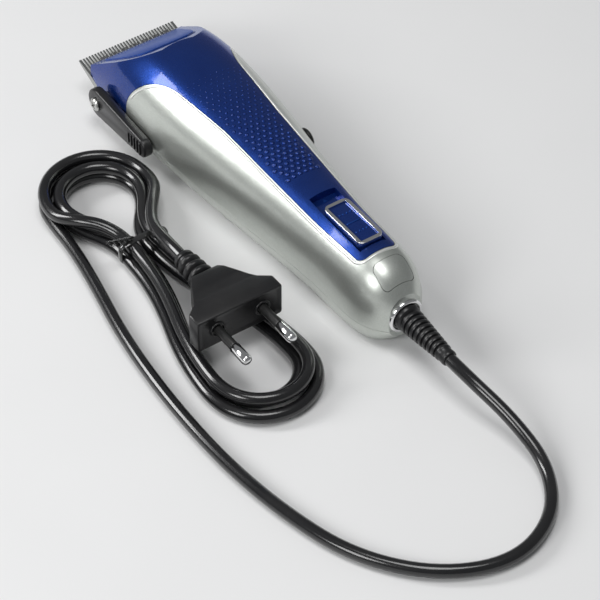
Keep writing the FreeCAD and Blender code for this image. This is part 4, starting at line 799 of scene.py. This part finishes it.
# %% Twist its two ends
END_LEAN, END_TWIST, END_LENGTH = 74, 900, 11
ends = []
for turn in (0, math.pi):
    nothing_selected()
    bpy.ops.mesh.primitive_circle_add(vertices=10, radius=0.55 * MM, location=(0.62 * MM, 0, 0),
                                      rotation=(math.pi / 2, 0, 0))
    strand = settle(bpy.context.object, "tie_end")
    apply_modifier(strand, "SCREW", axis="Z", angle=math.radians(END_TWIST), screw_offset=END_LENGTH * MM,
                   steps=60, render_steps=60, use_merge_vertices=True)
    bpy.ops.object.mode_set(mode="EDIT")
    bpy.ops.mesh.select_all(action="SELECT")
    bpy.ops.mesh.remove_doubles(threshold=0.001 * MM)
    bpy.ops.mesh.select_all(action="DESELECT")
    bpy.ops.mesh.select_mode(type="EDGE")
    bpy.ops.mesh.select_non_manifold()
    bpy.ops.mesh.fill_holes(sides=0)
    bpy.ops.object.mode_set(mode="OBJECT")
    leaning = Matrix.Rotation(math.radians(END_LEAN), 4, "Y") @ Matrix.Rotation(turn, 4, "Z")
    strand.rotation_euler = leaning.to_euler()
    strand.location = ((HANK_X + 4.5) * MM, TIE_Y * MM, 10.6 * MM)
    ends.append(smooth(fix_normals(settle(strand, "tie_end")), 60))
wire_tie = fit(joined([band] + ends, "wire_tie"), "tie", ("hank_tie",))

# %% [markdown]
# ## Details of the housing
# The two halves of the outside are separate mouldings that meet along one line. A ray dropped on the CAD
# housing gives the height of its skin at any place, so that details sit on it exactly.

# %% Rays on the skin
from mathutils.bvhtree import BVHTree


def skin_of(*nodes):
    """A search tree over the triangles of some CAD pieces."""
    places, faces = [], []
    for node in nodes:
        mesh = frame["nodes"][node].data
        faces += [tuple(len(places) + corner for corner in face.vertices) for face in mesh.polygons]
        places += [vertex.co.copy() for vertex in mesh.vertices]
    return BVHTree.FromPolygons(places, faces)


whole_skin = skin_of("top_cover", "upper_shell", "tail_insert")


def top_of(x, y, skin=whole_skin):
    """The highest point of the skin at a place, in mm, and its normal."""
    spot, normal, _, _ = skin.ray_cast(Vector((x, y, 80)) * MM, Vector((0, 0, -1)))
    return (None, None) if spot is None else (spot.z / MM, normal)


print("skin height at the tongue's middle:", round(top_of(0, 20)[0], 2), "mm")

# %% [markdown]
# ### Lip along the joint line, with a painted highlight
# The silver moulding ends in a rounded lip that frames the blue cover; its lighter silver is a painted
# highlight.
# The lip is a thin tube that follows the joint line, partly sunk into the skin, up one side, round the
# tongue's end and down the other.

# %% Trace the joint line in plan
OUTLINE = [(25.0, -55.0), (14.5, -39.0), (11.0, -4.0), (7.8, 76.0),
           (-7.8, 76.0), (-11.0, -4.0), (-14.5, -39.0), (-25.0, -55.0)]
OUTLINE_ROUNDS = [0, 36.0, 0, 3.0, 3.0, 0, 36.0, 0]
ARC_PARTS = 8
LIP_AWAY, LIP_SUNK, LIP_RADIUS = 0.95, 0.25, 0.62
LIP_LOWEST, LIP_WIDEST = 10.5, 23.2
ABOVE_ALL = 80


def rounded_outline(offset, step=0.8):
    """The joint line in plan, moved outwards, with its corners rounded, as closely spaced points."""
    corners = [Vector(point) for point in OUTLINE]
    path = []
    for i, corner in enumerate(corners):
        if not OUTLINE_ROUNDS[i]:
            path.append(corner)
            continue
        before = (corners[i - 1] - corner).normalized()
        after = (corners[i + 1] - corner).normalized()
        half = before.angle(after) / 2
        back = OUTLINE_ROUNDS[i] / math.tan(half)
        centre = corner + (before + after).normalized() * (OUTLINE_ROUNDS[i] / math.sin(half))
        first, last = corner + before * back - centre, corner + after * back - centre
        for part in range(ARC_PARTS + 1):
            path.append(centre + first.slerp(last, part / ARC_PARTS) * OUTLINE_ROUNDS[i])
    fine = []
    for a, b in zip(path, path[1:]):
        count = max(1, int((b - a).length / step))
        fine += [a.lerp(b, part / count) for part in range(count)]
    fine.append(path[-1])
    moved = []
    for i, point in enumerate(fine):
        way = (fine[min(i + 1, len(fine) - 1)] - fine[max(i - 1, 0)]).normalized()
        moved.append(point + Vector((way.y, -way.x)) * offset)
    return moved


lip_plan = rounded_outline(LIP_AWAY)
print(len(lip_plan), "points along the joint line")

# %% Lay the lip on the skin
shell_skin = skin_of("upper_shell")
lip_points = []
for point in lip_plan:
    spot, normal, _, _ = shell_skin.ray_cast(Vector((point.x, point.y, ABOVE_ALL)) * MM, Vector((0, 0, -1)))
    if spot is not None and spot.z > LIP_LOWEST * MM and abs(spot.x) < LIP_WIDEST * MM:
        lip_points.append(spot - normal.normalized() * LIP_SUNK * MM)
lip_curve = bpy.data.curves.new("joint_lip", "CURVE")
lip_curve.dimensions = "3D"
lip_spline = lip_curve.splines.new("NURBS")
lip_spline.points.add(len(lip_points) - 1)
for control, point in zip(lip_spline.points, lip_points):
    control.co = (*point, 1.0)
lip_spline.order_u = 4
lip_spline.use_endpoint_u = True
lip_curve.resolution_u = 2
lip_curve.bevel_depth = LIP_RADIUS * MM
lip_curve.bevel_resolution = 3
lip_curve.use_fill_caps = True
joint_lip = bpy.data.objects.new("joint_lip", lip_curve)
bpy.context.scene.collection.objects.link(joint_lip)
only(joint_lip)
bpy.ops.object.convert(target="MESH")
joint_lip = smooth(fix_normals(settle(bpy.context.object, "joint_lip")), 60)
joint_lip.data.materials.append(lip_highlight_paint)
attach(joint_lip, "housing")
lip_heights = [point.z / MM for point in lip_points]
print(f"lip reaches from z {min(lip_heights):.1f} to {max(lip_heights):.1f} mm")

# %% [markdown]
# ### Grip dots
# The tongue is covered with small domes in a lattice, tiny near the head and larger towards the tail. One
# dome of a few dozen faces is modelled once, and each copy is scaled to its row and turned to the skin's
# normal.

# %% Set out the dots
DOT_PITCH = 2.55
DOT_FRONT, DOT_REAR = -30.0, 30.0


def tongue_half(y):
    """Half width of the tongue at a place along it."""
    for (x0, y0), (x1, y1) in zip(OUTLINE[1:], OUTLINE[2:4]):
        if y0 <= y <= y1:
            return x0 + (x1 - x0) * (y - y0) / (y1 - y0)
    return 0.0


nothing_selected()
bpy.ops.mesh.primitive_uv_sphere_add(segments=12, ring_count=6, radius=1.0)
one_dome = settle(bpy.context.object, "one_dome")
bpy.ops.object.mode_set(mode="EDIT")
bpy.ops.mesh.select_all(action="SELECT")
bpy.ops.mesh.bisect(plane_co=(0, 0, -0.1), plane_no=(0, 0, 1), clear_inner=True, use_fill=True)
bpy.ops.object.mode_set(mode="OBJECT")
smooth(one_dome, 60)
domes = []
row = 0
place_y = DOT_FRONT
while place_y < DOT_REAR:
    grown = (place_y - DOT_FRONT) / (DOT_REAR - DOT_FRONT)
    radius = 0.28 + 0.68 * min(1.0, grown * 1.25)
    edge = tongue_half(place_y) - 1.2 - radius
    shift = DOT_PITCH / 2 if row % 2 else 0.0
    column = -math.floor((edge + shift) / DOT_PITCH)
    while column * DOT_PITCH + shift <= edge:
        across_x = column * DOT_PITCH + shift
        column += 1
        if abs(across_x) > edge:
            continue
        level, normal = top_of(across_x, place_y)
        dome = bpy.data.objects.new("dome", one_dome.data.copy())
        bpy.context.scene.collection.objects.link(dome)
        dome.rotation_mode = "QUATERNION"
        dome.rotation_quaternion = normal.to_track_quat("Z", "Y")
        dome.scale = (radius * MM, radius * MM, 0.55 * radius * MM)
        dome.location = Vector((across_x, place_y, level)) * MM
        domes.append(dome)
    place_y += DOT_PITCH * math.sqrt(3) / 2
    row += 1
bpy.data.objects.remove(one_dome)
bpy.context.view_layer.update()
dot_count = len(domes)
grip_dots = joined(domes, "grip_dots")
smooth(grip_dots, 60)
grip_dots.data.materials.clear()
grip_dots.data.materials.append(blue_lacquer)
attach(grip_dots, "housing")
print(dot_count, "grip dots in", row, "rows")

# %% [markdown]
# ### Name plate
# The slope in front of the head has a separate plate, here left plain. It is a thin slab: a circle's corners
# are moved to the plate's outline, drawn up off the slope and bevelled.

# %% Shape the plate
SLOPE = math.radians(35.0)
slope_origin = Vector((0, -53.0, 38.6)) * MM
down_slope = Vector((0, -math.cos(SLOPE), -math.sin(SLOPE)))
slope_normal = Vector((0, -math.sin(SLOPE), math.cos(SLOPE)))
PLATE = [(-16.8, 32.0), (16.8, 32.0), (14.4, 15.0), (12.2, 9.6),
         (8.4, 7.4), (-8.4, 7.4), (-12.2, 9.6), (-14.4, 15.0)]


def sloping_plate(name, grow, low, high, bevel):
    """A slab with the plate's outline, grown by some millimetres, between two heights over the slope."""
    nothing_selected()
    bpy.ops.mesh.primitive_circle_add(vertices=len(PLATE), radius=1.0, fill_type="NGON")
    slab = settle(bpy.context.object, name)
    middle_back = sum(back for _, back in PLATE) / len(PLATE)
    bpy.ops.object.mode_set(mode="EDIT")
    flat = bmesh.from_edit_mesh(slab.data)
    flat.verts.ensure_lookup_table()
    for vertex, (x, back) in zip(flat.verts, PLATE):
        x += math.copysign(grow, x)
        back += math.copysign(grow, back - middle_back)
        vertex.co = slope_origin + Vector((x, 0, 0)) * MM + down_slope * back * MM + slope_normal * low * MM
    bmesh.update_edit_mesh(slab.data)
    bpy.ops.mesh.select_all(action="SELECT")
    bpy.ops.mesh.extrude_region_move(TRANSFORM_OT_translate={"value": slope_normal * (high - low) * MM})
    bpy.ops.object.mode_set(mode="OBJECT")
    fix_normals(slab)
    apply_modifier(slab, "BEVEL", width=bevel * MM, segments=3, limit_method="ANGLE",
                   angle_limit=math.radians(20))
    return smooth(slab, 40)


plate = sloping_plate("slope_plate", 0.0, -0.4, 0.45, 0.3)
plate.data.materials.append(blue_plate)
frame_rim = sloping_plate("slope_plate_frame", 0.55, -0.4, 0.18, 0.15)
frame_rim.data.materials.append(blue_lacquer)
for piece in (plate, frame_rim):
    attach(piece, "housing")
print("plate lies on the slope:", [round(v.co.z / MM, 1) for v in plate.data.vertices[:3]])

# %% [markdown]
# ### Switch grip, travel mark and tail collar
# The sliding button has two rows of raised dots and a bar between them, so that a wet thumb doesn't slip. A
# small raised triangle in the recess shows which way is on. A bright collar closes the tail round the sleeve.

# %% Grip on the button
GRIP_ROWS, GRIP_COLUMNS, GRIP_RADIUS = (-5.0, 5.0), (-2.25, -0.75, 0.75, 2.25), 0.42
ring_low, ring_high = [[value / MM for value in corner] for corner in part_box("switch_ring")]
button_z = ring_low[2]
button_y = (ring_low[1] + ring_high[1]) / 2
grips = []
for row_y in GRIP_ROWS:
    for across_x in GRIP_COLUMNS:
        nothing_selected()
        bpy.ops.mesh.primitive_uv_sphere_add(segments=12, ring_count=6, radius=GRIP_RADIUS * MM,
                                             location=(across_x * MM, (button_y + row_y) * MM, button_z * MM))
        grips.append(smooth(settle(bpy.context.object, "grip_dot"), 60))
nothing_selected()
bpy.ops.mesh.primitive_cube_add(size=1, location=(0, button_y * MM, (button_z + 0.05) * MM),
                                scale=(5.6 * MM, 0.6 * MM, 0.5 * MM))
bar = settle(bpy.context.object, "grip_bar")
apply_modifier(bar, "BEVEL", width=0.2 * MM, segments=3, limit_method="ANGLE", angle_limit=math.radians(40))
grips.append(smooth(bar, 40))
button_grip = joined(grips, "button_grip")
button_grip.data.materials.append(blue_plate)
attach(button_grip, "slider")

# %% Button and ring with softer edges
button = softened("switch_slider", "sliding_button", 0.35 * MM, 3)
fit(button, "blue", ("switch_slider",))
button_ring = softened("switch_ring", "button_ring", 0.22 * MM, 3)
fit(button_ring, "chrome", ("switch_ring",))

# %% Travel mark in the recess
MARK_Y, MARK_Z = 43.2, 31.0
nothing_selected()
bpy.ops.mesh.primitive_cylinder_add(vertices=3, radius=1.0 * MM, depth=0.3 * MM,
                                    location=(0, MARK_Y * MM, MARK_Z * MM), rotation=(0, 0, math.pi))
travel_mark = settle(bpy.context.object, "travel_mark")
apply_modifier(travel_mark, "BEVEL", width=0.08 * MM, segments=2, limit_method="ANGLE", angle_limit=0.6)
travel_mark.data.materials.append(blue_plate)
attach(travel_mark, "housing")

# %% Tail collar
COLLAR_Y, COLLAR_DEEPER = 92.2, 1.3
nothing_selected()
bpy.ops.mesh.primitive_torus_add(major_radius=6.15 * MM, minor_radius=0.8 * MM, major_segments=56,
                                 minor_segments=12, location=(0, COLLAR_Y * MM, CORD_Z * MM),
                                 rotation=(math.pi / 2, 0, 0))
collar = settle(bpy.context.object, "tail_collar")
bpy.ops.object.mode_set(mode="EDIT")
bpy.ops.mesh.select_all(action="SELECT")
bpy.ops.transform.resize(value=(1, COLLAR_DEEPER, 1), center_override=(0, COLLAR_Y * MM, CORD_Z * MM))
bpy.ops.object.mode_set(mode="OBJECT")
smooth(collar, 60)
collar.data.materials.append(bright_plating)
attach(collar, "housing")
print("button top at z", button_z, "mm")

# %% [markdown]
# ### Screws
# The heads of the housing, blade and lever screws have cross recesses, and the power screw has a coin slot.
# Blocks are taken out of a merged copy of each CAD screw one at a time. Each cross is turned by its own
# angle, as a real screw stops where it is tight.


# %% Cut the drives
def cross_blocks(centre, axis, length, thickness, depth, turned_by=0.0, slot_only=False):
    """Two crossed blocks, or one, that reach some millimetres to both sides of a screw head's face.
    turned_by is the angle in degrees that the screw stopped at."""
    blocks = []
    for turned in range(1 if slot_only else 2):
        nothing_selected()
        sizes = (length, thickness, 2 * depth) if not turned else (thickness, length, 2 * depth)
        bpy.ops.mesh.primitive_cube_add(size=1, scale=tuple(value * MM for value in sizes))
        block = settle(bpy.context.object, "drive_block")
        block.rotation_mode = "QUATERNION"
        block.rotation_quaternion = (Vector(axis).to_track_quat("Z", "Y")
                                     @ Quaternion((0, 0, 1), math.radians(turned_by)))
        block.location = Vector(centre) * MM
        blocks.append(settle(block, "drive_block"))
    return blocks


def driven(node, name, finish_name, cutters, bevel=0.12):
    """A CAD screw with its edges rounded and its drive cut in."""
    piece = cad_copy(node, name)
    apply_modifier(piece, "BEVEL", width=bevel * MM, segments=2, limit_method="ANGLE",
                   angle_limit=math.radians(30))
    for cutter in cutters:
        apply_modifier(piece, "BOOLEAN", object=cutter, operation="DIFFERENCE", solver="EXACT")
        bpy.data.objects.remove(cutter)
    return fit(smooth(piece, 30), finish_name, (node,))


# %% Drive the screws
CROSS = (3.0, 0.6)
HOUSING_SCREWS, HEAD_Z = ((-15, -48, 17), (15, -48, 52), (-9, 42, 33), (9, 42, 71)), 0.25
BLADE_SCREWS, BLADE_SCREW_ALONG, HEAD_ABOVE = ((-10, 24), (10, 61)), 27.2, 0.15
EDGE_Y, EDGE_Z = -92, 13.5
LEVER_Y, LEVER_Z, LEVER_TURN = -68, 12, 40
lean = math.radians(25.0)
blade_normal = (0, -math.sin(lean), -math.cos(lean))
housing_cuts = [block for x, y, turned_by in HOUSING_SCREWS
                for block in cross_blocks((x, y, HEAD_Z), (0, 0, -1), *CROSS, 1.0, turned_by)]
driven("housing_screws", "housing_screws_driven", "zinc", housing_cuts)
head_y = EDGE_Y + BLADE_SCREW_ALONG * math.cos(lean) + HEAD_ABOVE * math.sin(lean)
head_z = EDGE_Z - BLADE_SCREW_ALONG * math.sin(lean) + HEAD_ABOVE * math.cos(lean)
blade_cuts = [block for x, turned_by in BLADE_SCREWS
              for block in cross_blocks((x, head_y, head_z), blade_normal, *CROSS, 1.0, turned_by)]
driven("blade_screws", "blade_screws_driven", "zinc", blade_cuts)
lever_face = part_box("lever_screw")[1][0] / MM
driven("lever_screw", "lever_screw_driven", "zinc",
       cross_blocks((lever_face, LEVER_Y, LEVER_Z), (1, 0, 0), *CROSS, 0.9, LEVER_TURN))
power_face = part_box("power_screw")[0][0] / MM
driven("power_screw", "power_screw_slotted", "black",
       cross_blocks((power_face, 0, 18), (-1, 0, 0), 12.0, 1.1, 0.8, slot_only=True))

# %% [markdown]
# ### Taper lever
# A flat moulded arm that swings on its screw. The thumb end has ribs across it, and its edges are rounded.

# %% Round the lever and rib its thumb end
lever_piece = softened("taper_lever", "taper_lever_moulded", 0.7 * MM, 3)
LEVER_RIBS, FIRST_LEVER_RIB, LEVER_RIB_PITCH = 5, -36.6, 2.0
lever_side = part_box("taper_lever")[1][0] / MM
ribs = []
for place in range(LEVER_RIBS):
    nothing_selected()
    wide = 6.4 - 0.5 * abs(place - 1)
    rib_at = Vector((lever_side + 0.05, FIRST_LEVER_RIB - LEVER_RIB_PITCH * place, LEVER_Z)) * MM
    bpy.ops.mesh.primitive_cube_add(size=1, location=rib_at, scale=(0.9 * MM, 0.9 * MM, wide * MM))
    rib = settle(bpy.context.object, "lever_rib")
    apply_modifier(rib, "BEVEL", width=0.3 * MM, segments=3, limit_method="ANGLE",
                   angle_limit=math.radians(40))
    ribs.append(smooth(rib, 40))
lever_whole = joined([lever_piece] + ribs, "taper_lever_moulded")
fit(lever_whole, "black", ("taper_lever",))

# %% [markdown]
# ## Floor and lights
# A pale floor at the height the clipper rests on. A long soft light across the front is mirrored as one
# bright band along the silver shoulder and the edge of the blue tongue. Two smaller ones fill the side and
# the top.

# %% Floor
nothing_selected()
bpy.ops.mesh.primitive_plane_add(size=6.0, location=(0, 0, -0.0004))
floor = settle(bpy.context.object, "floor")
floor_finish = finish("pale_table_top", (0.80, 0.80, 0.80), (0.83, 0.83, 0.83), 0.6, 0.05, 0.0, 300.0, 0.01)
floor.data.materials.append(floor_finish)


# %% Lights
def soft_light(name, place, sizes, power, long_side=(1.0, 0.0, 0.0), target=(0.0, 0.0, 0.02)):
    """An oblong soft light that faces the clipper; long_side is the way that its first size lies."""
    lamp = bpy.data.lights.new(name, "AREA")
    lamp.shape = "RECTANGLE"
    lamp.size, lamp.size_y = sizes
    lamp.energy = power
    holder = bpy.data.objects.new(name, lamp)
    back = (Vector(place) - Vector(target)).normalized()
    side = Vector(long_side)
    side = (side - back * side.dot(back)).normalized()
    facing = Matrix((side, back.cross(side), back)).transposed()
    holder.location = place
    holder.rotation_euler = facing.to_euler()
    bpy.context.scene.collection.objects.link(holder)
    return holder


soft_light("long_light", (0.71, -0.75, 0.74), (0.80, 0.26), 8.0, long_side=(0.68, 0.0, -0.44))
soft_light("side_light", (1.1, 0.3, 0.75), (0.5, 0.5), 6.0)
soft_light("top_light", (0.1, 0.2, 1.6), (0.7, 0.7), 9.0)
world = bpy.data.worlds.new("studio")
bpy.context.scene.world = world
world.use_nodes = True
world.node_tree.nodes["Background"].inputs["Color"].default_value = (0.86, 0.88, 0.90, 1.0)
world.node_tree.nodes["Background"].inputs["Strength"].default_value = 0.22
bpy.context.scene.view_settings.view_transform = "Standard"
